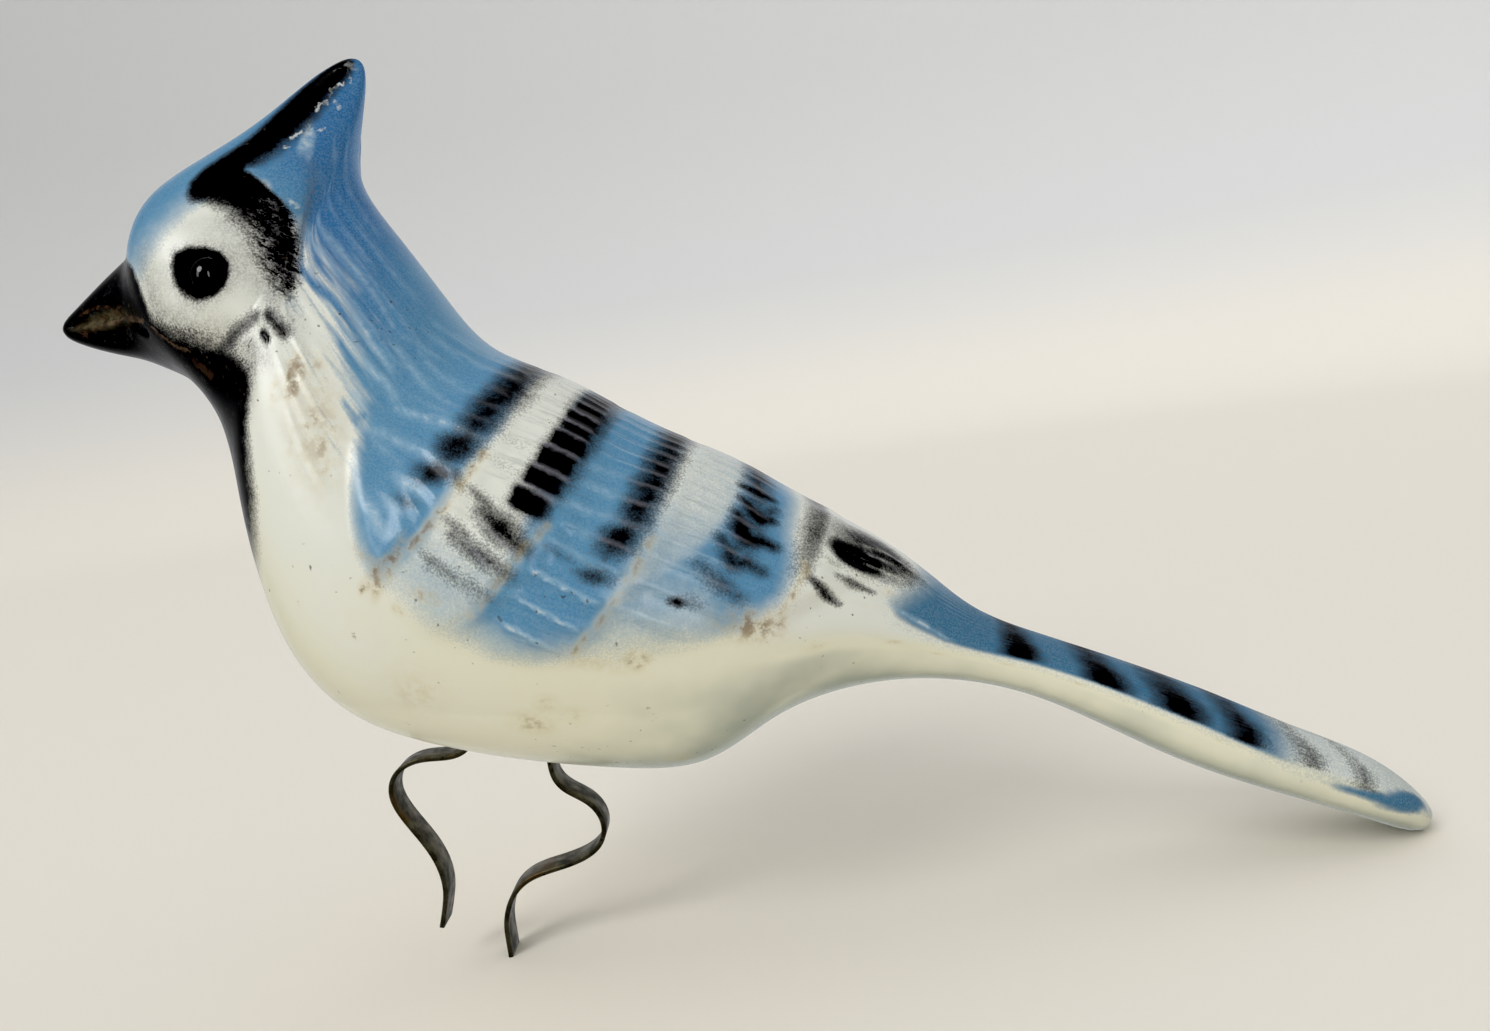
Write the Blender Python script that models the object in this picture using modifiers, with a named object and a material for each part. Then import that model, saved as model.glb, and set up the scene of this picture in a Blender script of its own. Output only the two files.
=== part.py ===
"""A glazed ceramic blue jay that clips onto a branch with two bent strips of spring steel.

The bird is one hollow-cast piece, modelled solid. Each strip is a separate flat spring
that is pushed into its own slot in the belly. The frame is the bird standing on a table:
+X towards the tail, +Z up, the beak at -X. It stands on the cut end of the rear strip
and on the tip of its tail.
"""

import bmesh
import bpy
import numpy as np

# Driving sizes, in metres
BIRD_LENGTH = 0.240
STRIP_WIDTH = 0.006
STRIP_THICKNESS = 0.0008
SLOT_DEPTH = 0.008
SLOT_GAP = 0.0003

# The free form is drawn on a bird 240 units long, and this is one of those units
UNIT = BIRD_LENGTH / 240

# How finely the solid is divided
RINGS = 94
POINTS_UP_A_SIDE = 25
POINTS_ALONG_A_STRIP = 32
EYE_SEGMENTS = 16
CURVE_SAMPLES = 800

# The points up a side crowd towards its middle, where the wing is carved, and the rings
# crowd along the wing, spread along the tail and crowd round its tip, from rib to rib
SIDE_CROWDING = 0.05
WING_RING_RIBS = (15.5, 16.5)
WING_RING_CROWDING = 0.5
TAIL_RING_RIBS = (21.5, 24.5)
TAIL_RING_SPREAD = 0.9
TIP_RING_RIBS = (28.5, 29.5)
TIP_RING_CROWDING = 1.6

# Ribs from the beak tip to the tail tip. Each is a closed section across the bird: the x
# and z of its top and of its bottom on the mirror plane, its half width, how far up its
# widest place is, and how pinched it is above and below that: 0 is an ellipse, 1 a narrow
# ridge, and less than 0 boxy
RIBS = (
    # beak
    (-106.3, 114.2, -106.3, 114.2, 0.0, 0.50, 0.0, 0.0),
    (-106.0, 115.4, -106.2, 112.8, 1.5, 0.50, 0.0, 0.0),
    (-102.7, 117.5, -103.2, 111.0, 3.4, 0.50, 0.0, 0.0),
    (-98.2, 120.7, -98.5, 109.0, 5.2, 0.48, 0.0, 0.0),
    (-94.1, 123.4, -94.0, 107.6, 6.8, 0.46, 0.0, 0.0),
    # head, then the crest that rises from it
    (-91.6, 124.6, -90.5, 105.6, 9.0, 0.46, 0.0, 0.0),
    (-89.6, 129.4, -87.0, 103.6, 13.0, 0.46, 0.0, 0.0),
    (-85.8, 133.8, -84.6, 101.8, 16.2, 0.44, 0.0, 0.0),
    (-78.2, 137.2, -82.9, 99.4, 18.2, 0.42, 0.1, 0.0),
    (-68.4, 141.5, -81.8, 96.9, 19.0, 0.36, 0.35, 0.0),
    (-59.8, 147.3, -81.2, 95.0, 19.4, 0.31, 0.65, 0.0),
    (-52.7, 150.5, -80.6, 92.6, 19.4, 0.28, 0.85, 0.0),
    (-49.8, 148.2, -80.2, 89.2, 19.6, 0.28, 0.85, 0.0),
    (-53.0, 139.6, -79.6, 83.6, 20.8, 0.33, 0.7, 0.0),
    (-56.0, 131.0, -79.4, 75.8, 22.8, 0.41, 0.38, 0.0),
    # neck and breast
    (-50.4, 121.8, -79.0, 66.6, 25.0, 0.44, 0.2, 0.0),
    (-44.2, 110.2, -76.8, 55.0, 27.2, 0.47, 0.12, 0.0),
    (-38.8, 100.2, -69.2, 44.2, 29.0, 0.50, 0.05, 0.0),
    # back and belly
    (-26.9, 95.2, -57.3, 38.5, 29.8, 0.50, 0.0, 0.0),
    (-14.9, 84.9, -43.5, 34.0, 29.4, 0.50, 0.0, 0.0),
    (-0.5, 77.5, -28.2, 30.3, 27.4, 0.50, 0.0, 0.0),
    (10.7, 67.4, -13.4, 28.0, 23.8, 0.52, 0.0, -0.1),
    # rump, where the wing tips end
    (20.7, 61.5, -3.5, 35.3, 19.2, 0.54, 0.0, -0.1),
    (28.2, 54.1, 9.0, 38.6, 15.0, 0.56, 0.0, -0.1),
    # tail
    (35.0, 45.9, 24.0, 38.8, 12.0, 0.58, -0.1, -0.2),
    (48.7, 39.4, 42.0, 33.4, 11.0, 0.60, -0.1, -0.2),
    (70.0, 28.8, 63.0, 17.8, 11.6, 0.60, -0.1, -0.2),
    (86.0, 18.8, 80.6, 9.8, 12.2, 0.60, -0.1, -0.2),
    (96.6, 13.5, 92.2, 4.4, 11.6, 0.60, -0.1, -0.1),
    (102.0, 8.5, 99.6, 0.4, 8.8, 0.60, 0.0, 0.0),
    (105.2, 4.6, 103.8, -1.0, 4.8, 0.60, 0.0, 0.0),
    (106.2, 1.8, 106.2, 1.8, 0.0, 0.60, 0.0, 0.0),
)
PINCH_POWER = 5

# Where each strip's middle line runs, from the mouth of its slot to its cut end, as x and z
FRONT_STRIP_LINE = (
    (-51.5, 36.7), (-55.2, 35.2), (-60.9, 36.3), (-65.6, 34.3), (-66.8, 29.7),
    (-63.7, 24.2), (-60.8, 19.3), (-59.7, 14.0), (-60.6, 10.2), (-61.7, 6.8),
)
REAR_STRIP_LINE = (
    (-39.2, 33.1), (-39.2, 29.6), (-37.4, 27.0), (-33.5, 24.8), (-31.4, 20.7),
    (-33.0, 16.3), (-38.6, 14.3), (-45.4, 13.6), (-49.2, 10.8), (-51.0, 6.4),
    (-51.0, 3.0), (-51.0, 0.0),
)

# Carving, in units. Places on the skin are given as a rib number, counted from the beak,
# and a share of the way up the side, 0 on the belly's middle line and 1 on the back's
WING_LOWEST_RIB = 18.4
WING_LOWEST_SHARE = 0.395
# From there its lower edge climbs by a factor times a power of the ribs passed
WING_CLIMB_AHEAD = (0.0215, 2.57)
WING_CLIMB_BEHIND = (0.036, 1.68)
WING_HEIGHT = 1.1
WING_EDGE_SHARE = 0.07
# The two wings meet on the back and stand little proud there, nor at the shoulder
WING_TOP_SHARES = (0.86, 1.0)
WING_HEIGHT_KEPT_ON_TOP = 0.2
SHOULDER_SHARES = (0.5, 0.68)
SHOULDER_RIBS = (16.2, 17.8)
WING_TIP_RIB = 21.2
WING_TIP_FADE = 1.6
WING_TIP_LIP_START = 1.2
WING_TIP_LIP_END = 0.3
# Each row of feathers thickens towards its back edge, which sweeps forward below a share
FEATHER_ROW_RIBS = (17.7, 18.65, 19.5)
FEATHER_ROW_SWEEPS = (12.0, 8.0, 5.0)
FEATHER_SWEEP_SHARE = 0.72
FEATHER_ROW_HEIGHT = 0.6
FEATHER_ROW_LENGTH = 0.85
FEATHER_ROW_STEP = 0.22
FEATHER_ROW_TOP_SHARES = (0.7, 0.95)

EYE_X, EYE_Z = -74.4, 117.2
EYE_RADIUS = 3.0
EYE_PROUD = 1.3
EYE_RING_RADIUS = 6.0
EYE_RING_DEPTH = 0.5

# The line between the beak's two halves, from near its tip to the corner of the mouth
GAPE = ((-103.8, 114.2), (-99.5, 114.4), (-93.5, 114.2), (-88.0, 110.6))
GAPE_DEPTH = 0.7
GAPE_HALF_WIDTH = 0.9


def clear_scene():
    for obj in list(bpy.data.objects):
        bpy.data.objects.remove(obj)


def new_collection(name):
    collection = bpy.data.collections.new(name)
    bpy.context.scene.collection.children.link(collection)
    return collection


def material(name, colour, roughness, metallic):
    made = bpy.data.materials.new(name)
    made.use_nodes = True
    shader = made.node_tree.nodes["Principled BSDF"]
    shader.inputs["Base Color"].default_value = (*colour, 1)
    shader.inputs["Roughness"].default_value = roughness
    shader.inputs["Metallic"].default_value = metallic
    return made


def b_spline(controls, places):
    """Points at places (0 to 1) along a smooth curve that begins and ends on the controls."""
    controls = np.asarray(controls, float)
    first = 2 * controls[0] - controls[1]
    last = 2 * controls[-1] - controls[-2]
    padded = np.vstack([first, controls, last])
    along = np.clip(places, 0, 1) * (len(controls) - 1)
    span = np.minimum(along.astype(int), len(controls) - 2)
    part = (along - span)[:, None]
    weights = (
        (1 - part) ** 3,
        3 * part**3 - 6 * part**2 + 4,
        -3 * part**3 + 3 * part**2 + 3 * part + 1,
        part**3,
    )
    return sum(weight * padded[span + step] for step, weight in enumerate(weights)) / 6


def even_places(lengths, count):
    """The places, 0 to 1, that divide a line with these running lengths evenly."""
    wanted = np.linspace(0, lengths[-1], count)
    return np.interp(wanted, lengths, np.linspace(0, 1, len(lengths)))


def running_length(steps):
    return np.concatenate([[0], np.cumsum(steps)])


def rise(value, start, end):
    """0 up to start and 1 from end on, with a smooth rise between them."""
    part = np.clip((value - start) / (end - start), 0, 1)
    return part * part * (3 - 2 * part)


def ridge(distance, half_width):
    """1 on a line, falling smoothly to 0 at half_width from it."""
    return 1 - rise(np.abs(distance), 0, half_width)


def line_distance(x, z, line):
    """How far each point is from a line of straight runs, all on the side view."""
    nearest = np.full(np.shape(x), np.inf)
    for (x0, z0), (x1, z1) in zip(line, line[1:]):
        run_x, run_z = x1 - x0, z1 - z0
        along = ((x - x0) * run_x + (z - z0) * run_z) / (run_x**2 + run_z**2)
        along = np.clip(along, 0, 1)
        nearest = np.minimum(nearest, np.hypot(x - x0 - along * run_x, z - z0 - along * run_z))
    return nearest


def rib_places(count):
    """Places along the ribs that space the rings by need: close on the wings, wide on the tail."""
    places = np.linspace(0, 1, CURVE_SAMPLES)
    ribs = b_spline(RIBS, places)
    steps = np.abs(np.diff(ribs[:, :5], axis=0))
    top = np.hypot(steps[:, 0], steps[:, 1])
    bottom = np.hypot(steps[:, 2], steps[:, 3])
    furthest = np.maximum(np.maximum(top, bottom), steps[:, 4])
    rib = places[1:] * (len(RIBS) - 1)
    need = 1 + WING_RING_CROWDING * rise(rib, *WING_RING_RIBS)
    need = need - TAIL_RING_SPREAD * rise(rib, *TAIL_RING_RIBS)
    need = need + TIP_RING_CROWDING * rise(rib, *TIP_RING_RIBS)
    return even_places(running_length(furthest * need), count)


def half_section(rib, shares):
    """Points up one side of a rib, at these shares of the way from the bottom to the top."""
    top_x, top_z, bottom_x, bottom_z, half_width, widest, pinch_above, pinch_below = rib
    turn = np.linspace(0, np.pi, CURVE_SAMPLES)
    below = turn < np.pi / 2
    share = np.where(below, widest, 1 - widest)
    height = widest - share * np.cos(turn)
    pinch = np.where(below, pinch_below, pinch_above)
    round_out = np.maximum(np.sin(turn), 0)
    out = half_width * ((1 - pinch) * round_out + pinch * round_out**PINCH_POWER)
    points = np.stack(
        [
            bottom_x + (top_x - bottom_x) * height,
            out,
            bottom_z + (top_z - bottom_z) * height,
        ],
        axis=1,
    )
    steps = np.linalg.norm(np.diff(points, axis=0), axis=1)
    lengths = running_length(steps)
    wanted = shares * lengths[-1]
    return np.stack([np.interp(wanted, lengths, points[:, axis]) for axis in range(3)], axis=1)


def wing_edge(rib):
    """How far up the side the wing's lower edge runs at this rib."""
    ahead = np.maximum(WING_LOWEST_RIB - rib, 0)
    behind = np.maximum(rib - WING_LOWEST_RIB, 0)
    climb_ahead = WING_CLIMB_AHEAD[0] * ahead ** WING_CLIMB_AHEAD[1]
    climb_behind = WING_CLIMB_BEHIND[0] * behind ** WING_CLIMB_BEHIND[1]
    return WING_LOWEST_SHARE + climb_ahead + climb_behind


def row_back_edge(row_rib, sweep, share):
    """The rib at which a row of feathers ends, at this share of the way up."""
    return row_rib - sweep * np.maximum(FEATHER_SWEEP_SHARE - share, 0) ** 2


def wing_relief(rib, share):
    """The raised wing: its lower edge, and three rows of feathers that overlap like tiles."""
    edge = wing_edge(rib)
    on_wing = rise(share, edge, edge + WING_EDGE_SHARE)
    on_wing = on_wing * (1 - (1 - WING_HEIGHT_KEPT_ON_TOP) * rise(share, *WING_TOP_SHARES))
    on_wing = on_wing * (1 - rise(share, *SHOULDER_SHARES) * (1 - rise(rib, *SHOULDER_RIBS)))
    raised = WING_HEIGHT * on_wing * (1 - rise(rib, WING_TIP_RIB, WING_TIP_RIB + WING_TIP_FADE))
    for row_rib, sweep in zip(FEATHER_ROW_RIBS, FEATHER_ROW_SWEEPS):
        behind = rib - row_back_edge(row_rib, sweep, share)
        tile = rise(behind, -FEATHER_ROW_LENGTH, 0) * (1 - rise(behind, 0, FEATHER_ROW_STEP))
        below_back = 1 - rise(share, *FEATHER_ROW_TOP_SHARES)
        raised = raised + FEATHER_ROW_HEIGHT * tile * on_wing * below_back
    lip = rise(rib, WING_TIP_RIB - WING_TIP_LIP_START, WING_TIP_RIB)
    lip = lip * (1 - rise(rib, WING_TIP_RIB, WING_TIP_RIB + WING_TIP_LIP_END))
    return raised + FEATHER_ROW_HEIGHT * lip * on_wing


def face_relief(x, z):
    """The shallow ring round the eye and the line between the beak's two halves."""
    from_eye = np.hypot(x - EYE_X, z - EYE_Z)
    ring = -EYE_RING_DEPTH * ridge(from_eye - EYE_RADIUS, EYE_RING_RADIUS - EYE_RADIUS)
    return ring - GAPE_DEPTH * ridge(line_distance(x, z, GAPE), GAPE_HALF_WIDTH)


def outward(grid):
    """The direction straight out of the skin at each point of the grid."""
    along = np.gradient(grid, axis=0)
    around = np.roll(grid, -1, axis=1) - np.roll(grid, 1, axis=1)
    out = np.cross(around, along)
    return out / np.linalg.norm(out, axis=2, keepdims=True)


def bird_grid(rings, up_a_side):
    """The bird's skin in units: rings of points, each up the right side and down the left."""
    places = rib_places(rings)[1:-1]
    ribs = b_spline(RIBS, places)
    even = np.linspace(0, 1, up_a_side)
    shares = even + SIDE_CROWDING * np.sin(2 * np.pi * even)
    right = np.array([half_section(rib, shares) for rib in ribs])
    left = right[:, -2:0:-1] * (1, -1, 1)
    grid = np.concatenate([right, left], axis=1)
    share = np.concatenate([shares, shares[-2:0:-1]])[None, :]
    rib_number = (places * (len(RIBS) - 1))[:, None]
    relief = wing_relief(rib_number, share) + face_relief(grid[..., 0], grid[..., 2])
    grid = grid + outward(grid) * relief[..., None]
    # The tail tip has a flat spot where it rests
    grid[..., 2] = np.maximum(grid[..., 2], 0)
    return grid


def skin_mesh(name, grid, first_tip, last_tip):
    """A closed mesh over rings of points, with a point at each end."""
    rings, around = grid.shape[:2]
    points = [*grid.reshape(-1, 3), first_tip, last_tip]
    first, last = len(points) - 2, len(points) - 1
    faces = []
    for ring in range(rings - 1):
        for place in range(around):
            a = ring * around + place
            b = ring * around + (place + 1) % around
            faces.append((a, b, b + around, a + around))
    for place in range(around):
        after = (place + 1) % around
        end = (rings - 1) * around
        faces.append((first, after, place))
        faces.append((last, end + place, end + after))
    mesh = bpy.data.meshes.new(name)
    mesh.from_pydata([tuple(point) for point in points], [], faces)
    mesh.shade_smooth()
    return mesh


def strip_path(line, slot_depth):
    """A strip's middle line in metres, with the straight stretch that fills its slot."""
    mouth_x, mouth_z = line[0]
    depth = slot_depth / UNIT
    in_slot = [(mouth_x, mouth_z + depth * share) for share in (1, 0.5)]
    controls = in_slot + list(line)
    dense = b_spline(controls, np.linspace(0, 1, CURVE_SAMPLES))
    lengths = running_length(np.linalg.norm(np.diff(dense, axis=0), axis=1))
    return b_spline(controls, even_places(lengths, POINTS_ALONG_A_STRIP)) * UNIT


def strip_object(name, path, width, thickness, collection, finish):
    """A ribbon of this width along its middle line, thickened evenly to both sides."""
    points = [(x, side * width / 2, z) for x, z in path for side in (-1, 1)]
    faces = [(n, n + 1, n + 3, n + 2) for n in range(0, len(points) - 2, 2)]
    mesh = bpy.data.meshes.new(name)
    mesh.from_pydata(points, [], faces)
    mesh.materials.append(finish)
    strip = bpy.data.objects.new(name, mesh)
    collection.objects.link(strip)
    thicken = strip.modifiers.new("thickness", "SOLIDIFY")
    thicken.thickness = thickness
    thicken.offset = 0
    thicken.use_even_offset = True
    return strip


def slot_cutter(name, line, cutters, finish):
    """The slot's hollow: the strip's own shape with the clearance all round and at its end."""
    path = strip_path(line, SLOT_DEPTH + SLOT_GAP)
    return strip_object(
        name, path, STRIP_WIDTH + 2 * SLOT_GAP, STRIP_THICKNESS + 2 * SLOT_GAP, cutters, finish
    )


def combine(target, other, operation):
    joining = target.modifiers.new(other.name, "BOOLEAN")
    joining.operation = operation
    joining.solver = "EXACT"
    joining.object = other
    other.hide_render = True
    other.display_type = "WIRE"


def eye_ball(name, grid, side, cutters, finish):
    """A ball sunk in the skin at the eye, standing proud by EYE_PROUD."""
    points = grid.reshape(-1, 3)
    from_eye = np.hypot(points[:, 0] - EYE_X, points[:, 2] - EYE_Z)
    nearest = np.argmin(np.where(points[:, 1] * side > 0, from_eye, np.inf))
    skin = np.array([EYE_X, points[nearest, 1], EYE_Z])
    centre = skin + outward(grid).reshape(-1, 3)[nearest] * (EYE_PROUD - EYE_RADIUS)
    shape = bmesh.new()
    bmesh.ops.create_uvsphere(
        shape, u_segments=EYE_SEGMENTS, v_segments=EYE_SEGMENTS // 2, radius=EYE_RADIUS * UNIT
    )
    mesh = bpy.data.meshes.new(name)
    shape.to_mesh(mesh)
    shape.free()
    mesh.materials.append(finish)
    ball = bpy.data.objects.new(name, mesh)
    ball.location = centre * UNIT
    ball.rotation_euler = (np.pi / 2, 0, 0)
    cutters.objects.link(ball)
    return ball


def bird_object(collection, cutters, finish):
    grid = bird_grid(RINGS, POINTS_UP_A_SIDE)
    tips = [np.array([tip[0], 0, tip[1]]) * UNIT for tip in (RIBS[0], RIBS[-1])]
    mesh = skin_mesh("bird", grid * UNIT, *tips)
    mesh.materials.append(finish)
    bird = bpy.data.objects.new("bird", mesh)
    collection.objects.link(bird)
    for name, side in (("right eye", 1), ("left eye", -1)):
        combine(bird, eye_ball(name, grid, side, cutters, finish), "UNION")
    for name, line in (("front slot", FRONT_STRIP_LINE), ("rear slot", REAR_STRIP_LINE)):
        combine(bird, slot_cutter(name, line, cutters, finish), "DIFFERENCE")
    return bird


def main():
    clear_scene()
    pieces = new_collection("ceramic clip-on bird")
    cutters = new_collection("cutters and joined forms")
    glaze = material("glazed ceramic", (0.62, 0.66, 0.66), 0.18, 0.0)
    steel = material("spring steel", (0.09, 0.09, 0.07), 0.45, 1.0)
    bird_object(pieces, cutters, glaze)
    for name, line in (
        ("front_clip_strip", FRONT_STRIP_LINE),
        ("rear_clip_strip", REAR_STRIP_LINE),
    ):
        path = strip_path(line, SLOT_DEPTH)
        strip_object(name, path, STRIP_WIDTH, STRIP_THICKNESS, pieces, steel)


main()
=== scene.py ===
"""The looks of a glazed ceramic blue jay that clips onto a branch with two steel strips.

The bird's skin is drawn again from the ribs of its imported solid, finely enough to carry the
feathers. Its paint is worked out at each point of that skin as coverages of blue, black, pale
wear and brown stain, and the glaze breaks their edges up into sprayed droplets. Lengths are in
millimetres until they are scaled. Places on the skin are a rib number, counted from the beak,
and a share of the way up the side, 0 on the belly's middle line and 1 on the back's.
"""

from functools import reduce
from types import SimpleNamespace

import bpy
import numpy as np
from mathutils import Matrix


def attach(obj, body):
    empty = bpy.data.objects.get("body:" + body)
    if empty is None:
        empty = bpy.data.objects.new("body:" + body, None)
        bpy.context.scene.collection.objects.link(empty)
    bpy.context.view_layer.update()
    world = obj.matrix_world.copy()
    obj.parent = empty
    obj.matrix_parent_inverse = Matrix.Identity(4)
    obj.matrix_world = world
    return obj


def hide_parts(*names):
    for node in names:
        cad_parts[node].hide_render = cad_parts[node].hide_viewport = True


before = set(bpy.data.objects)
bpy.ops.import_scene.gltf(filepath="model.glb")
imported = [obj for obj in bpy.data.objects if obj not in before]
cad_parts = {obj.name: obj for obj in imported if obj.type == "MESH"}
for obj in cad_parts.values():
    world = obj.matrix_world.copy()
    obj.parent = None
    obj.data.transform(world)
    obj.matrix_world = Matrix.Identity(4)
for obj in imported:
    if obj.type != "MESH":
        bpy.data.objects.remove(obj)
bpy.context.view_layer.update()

UNIT = 0.001

# How finely the skin and the strips are divided
RINGS = 352
POINTS_UP_A_SIDE = 139
POINTS_ALONG_A_STRIP = 110
CURVE_SAMPLES = 1200

# The rings crowd on the head and the wings and spread along the tail, and the points up a
# side crowd where the wing is
HEAD_RING_RIBS = (5.0, 7.0, 12.0, 14.0)
HEAD_RING_CROWDING = 0.55
WING_RING_RIBS = (15.5, 16.5, 21.6, 22.6)
WING_RING_CROWDING = 0.45
TAIL_RING_RIBS = (23.0, 24.5)
TAIL_RING_SPREAD = 0.5
SIDE_CROWDED_SHARES = (0.3, 0.42, 0.93, 1.0)
SIDE_CROWDING = 0.7

# Ribs from the beak tip to the tail tip: the x and z of the top and of the bottom, the half
# width, how far up the widest place is, and the pinch above and below it
RIBS = (
    # beak
    (-106.3, 114.2, -106.3, 114.2, 0.0, 0.50, 0.0, 0.0),
    (-106.0, 115.4, -106.2, 112.8, 1.5, 0.50, 0.0, 0.0),
    (-102.7, 117.5, -103.2, 111.0, 3.4, 0.50, 0.0, 0.0),
    (-98.2, 120.7, -98.5, 109.0, 5.2, 0.48, 0.0, 0.0),
    (-94.1, 123.4, -94.0, 107.6, 6.8, 0.46, 0.0, 0.0),
    # head, then the crest that rises from it
    (-91.6, 124.6, -90.5, 105.6, 9.0, 0.46, 0.0, 0.0),
    (-89.6, 129.4, -87.0, 103.6, 13.0, 0.46, 0.0, 0.0),
    (-85.8, 133.8, -84.6, 101.8, 16.2, 0.44, 0.0, 0.0),
    (-78.2, 137.2, -82.9, 99.4, 18.2, 0.42, 0.1, 0.0),
    (-68.4, 141.5, -81.8, 96.9, 19.0, 0.36, 0.35, 0.0),
    (-59.8, 147.3, -81.2, 95.0, 19.4, 0.31, 0.65, 0.0),
    (-52.7, 150.5, -80.6, 92.6, 19.4, 0.28, 0.85, 0.0),
    (-49.8, 148.2, -80.2, 89.2, 19.6, 0.28, 0.85, 0.0),
    (-53.0, 139.6, -79.6, 83.6, 20.8, 0.33, 0.7, 0.0),
    (-56.0, 131.0, -79.4, 75.8, 22.8, 0.41, 0.38, 0.0),
    # neck and breast
    (-50.4, 121.8, -79.0, 66.6, 25.0, 0.44, 0.2, 0.0),
    (-44.2, 110.2, -76.8, 55.0, 27.2, 0.47, 0.12, 0.0),
    (-38.8, 100.2, -69.2, 44.2, 29.0, 0.50, 0.05, 0.0),
    # back and belly
    (-26.9, 95.2, -57.3, 38.5, 29.8, 0.50, 0.0, 0.0),
    (-14.9, 84.9, -43.5, 34.0, 29.4, 0.50, 0.0, 0.0),
    (-0.5, 77.5, -28.2, 30.3, 27.4, 0.50, 0.0, 0.0),
    (10.7, 67.4, -13.4, 28.0, 23.8, 0.52, 0.0, -0.1),
    # rump, where the wing tips end
    (20.7, 61.5, -3.5, 35.3, 19.2, 0.54, 0.0, -0.1),
    (28.2, 54.1, 9.0, 38.6, 15.0, 0.56, 0.0, -0.1),
    # tail
    (35.0, 45.9, 24.0, 38.8, 12.0, 0.58, -0.1, -0.2),
    (48.7, 39.4, 42.0, 33.4, 11.0, 0.60, -0.1, -0.2),
    (70.0, 28.8, 63.0, 17.8, 11.6, 0.60, -0.1, -0.2),
    (86.0, 18.8, 80.6, 9.8, 12.2, 0.60, -0.1, -0.2),
    (96.6, 13.5, 92.2, 4.4, 11.6, 0.60, -0.1, -0.1),
    (102.0, 8.5, 99.6, 0.4, 8.8, 0.60, 0.0, 0.0),
    (105.2, 4.6, 103.8, -1.0, 4.8, 0.60, 0.0, 0.0),
    (106.2, 1.8, 106.2, 1.8, 0.0, 0.60, 0.0, 0.0),
)
PINCH_POWER = 5

# The strips: each one's middle line from the mouth of its slot to its cut end, as x and z
STRIP_WIDTH = 6.0
STRIP_THICKNESS = 0.8
STRIP_EDGE_ROUNDING = 0.16
SLOT_DEPTH = 8.0
SLOT_GAP = 0.3
FRONT_STRIP_LINE = (
    (-51.5, 36.7), (-55.2, 35.2), (-60.9, 36.3), (-65.6, 34.3), (-66.8, 29.7),
    (-63.7, 24.2), (-60.8, 19.3), (-59.7, 14.0), (-60.6, 10.2), (-61.7, 6.8),
)
REAR_STRIP_LINE = (
    (-39.2, 33.1), (-39.2, 29.6), (-37.4, 27.0), (-33.5, 24.8), (-31.4, 20.7),
    (-33.0, 16.3), (-38.6, 14.3), (-45.4, 13.6), (-49.2, 10.8), (-51.0, 6.4),
    (-51.0, 3.0), (-51.0, 0.0),
)

# The wing's carving, as the solid has it
WING_LOWEST_RIB = 18.4
WING_LOWEST_SHARE = 0.395
# How its lower edge climbs from there, ahead and behind: a factor, and a power of the ribs
WING_CLIMB_AHEAD = (0.0215, 2.57)
WING_CLIMB_BEHIND = (0.036, 1.68)
WING_HEIGHT = 1.1
WING_EDGE_SHARE = 0.07
WING_TOP_SHARES = (0.86, 1.0)
WING_HEIGHT_KEPT_ON_TOP = 0.2
SHOULDER_SHARES = (0.5, 0.68)
SHOULDER_RIBS = (16.2, 17.8)
WING_TIP_RIB = 21.2
WING_TIP_FADE = 1.6
WING_TIP_LIP_START = 1.2
WING_TIP_LIP_END = 0.3
FEATHER_ROW_RIBS = (17.7, 18.65, 19.5)
FEATHER_ROW_SWEEPS = (12.0, 8.0, 5.0)
FEATHER_SWEEP_SHARE = 0.72
FEATHER_ROW_HEIGHT = 0.6
FEATHER_ROW_LENGTH = 0.85
FEATHER_ROW_STEP = 0.22
FEATHER_ROW_TOP_SHARES = (0.7, 0.95)

# The eye's bead in its ring, and the line between the beak's halves
EYE_X, EYE_Z = -74.4, 117.2
EYE_BEAD_RADIUS = 2.5
EYE_PROUD = 1.3
EYE_RADIUS = 3.0
EYE_RING_RADIUS = 6.0
EYE_ROUNDNESS = 0.7
EYE_RING_DEPTH = 0.15
GAPE = ((-103.8, 114.2), (-99.5, 114.4), (-93.5, 114.2), (-88.0, 110.6))
GAPE_DEPTH = 0.7
GAPE_HALF_WIDTH = 0.9

# One rib on the wing is about as long as this share of the way up
RIB_IN_SHARES = 0.13

# A brushed stroke's width at its ends, as a part of its full width, and how much of it tapers
STROKE_END_WIDTH = 0.35
STROKE_TAPER = (0.08, 0.92)

# An uneven wave as the sum of four: how fast each runs along the first and the second way, how
# much of the turn it takes and where it starts
RIPPLE_WAVES = ((1.7, 2.3, 1.0, 0.0), (-2.9, 1.1, 2.1, 1.3), (3.7, 3.1, -1.6, 4.2),
                (0.9, -4.3, 0.7, 2.6))
RIPPLE_HEIGHT = 2.6


def b_spline(controls, places):
    """Points at places (0 to 1) along a smooth curve that begins and ends on the controls."""
    controls = np.asarray(controls, float)
    first = 2 * controls[0] - controls[1]
    last = 2 * controls[-1] - controls[-2]
    padded = np.vstack([first, controls, last])
    along = np.clip(places, 0, 1) * (len(controls) - 1)
    span = np.minimum(along.astype(int), len(controls) - 2)
    part = (along - span)[:, None]
    weights = (
        (1 - part) ** 3,
        3 * part**3 - 6 * part**2 + 4,
        -3 * part**3 + 3 * part**2 + 3 * part + 1,
        part**3,
    )
    return sum(weight * padded[span + step] for step, weight in enumerate(weights)) / 6


def running_length(steps):
    return np.concatenate([[0], np.cumsum(steps)])


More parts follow.
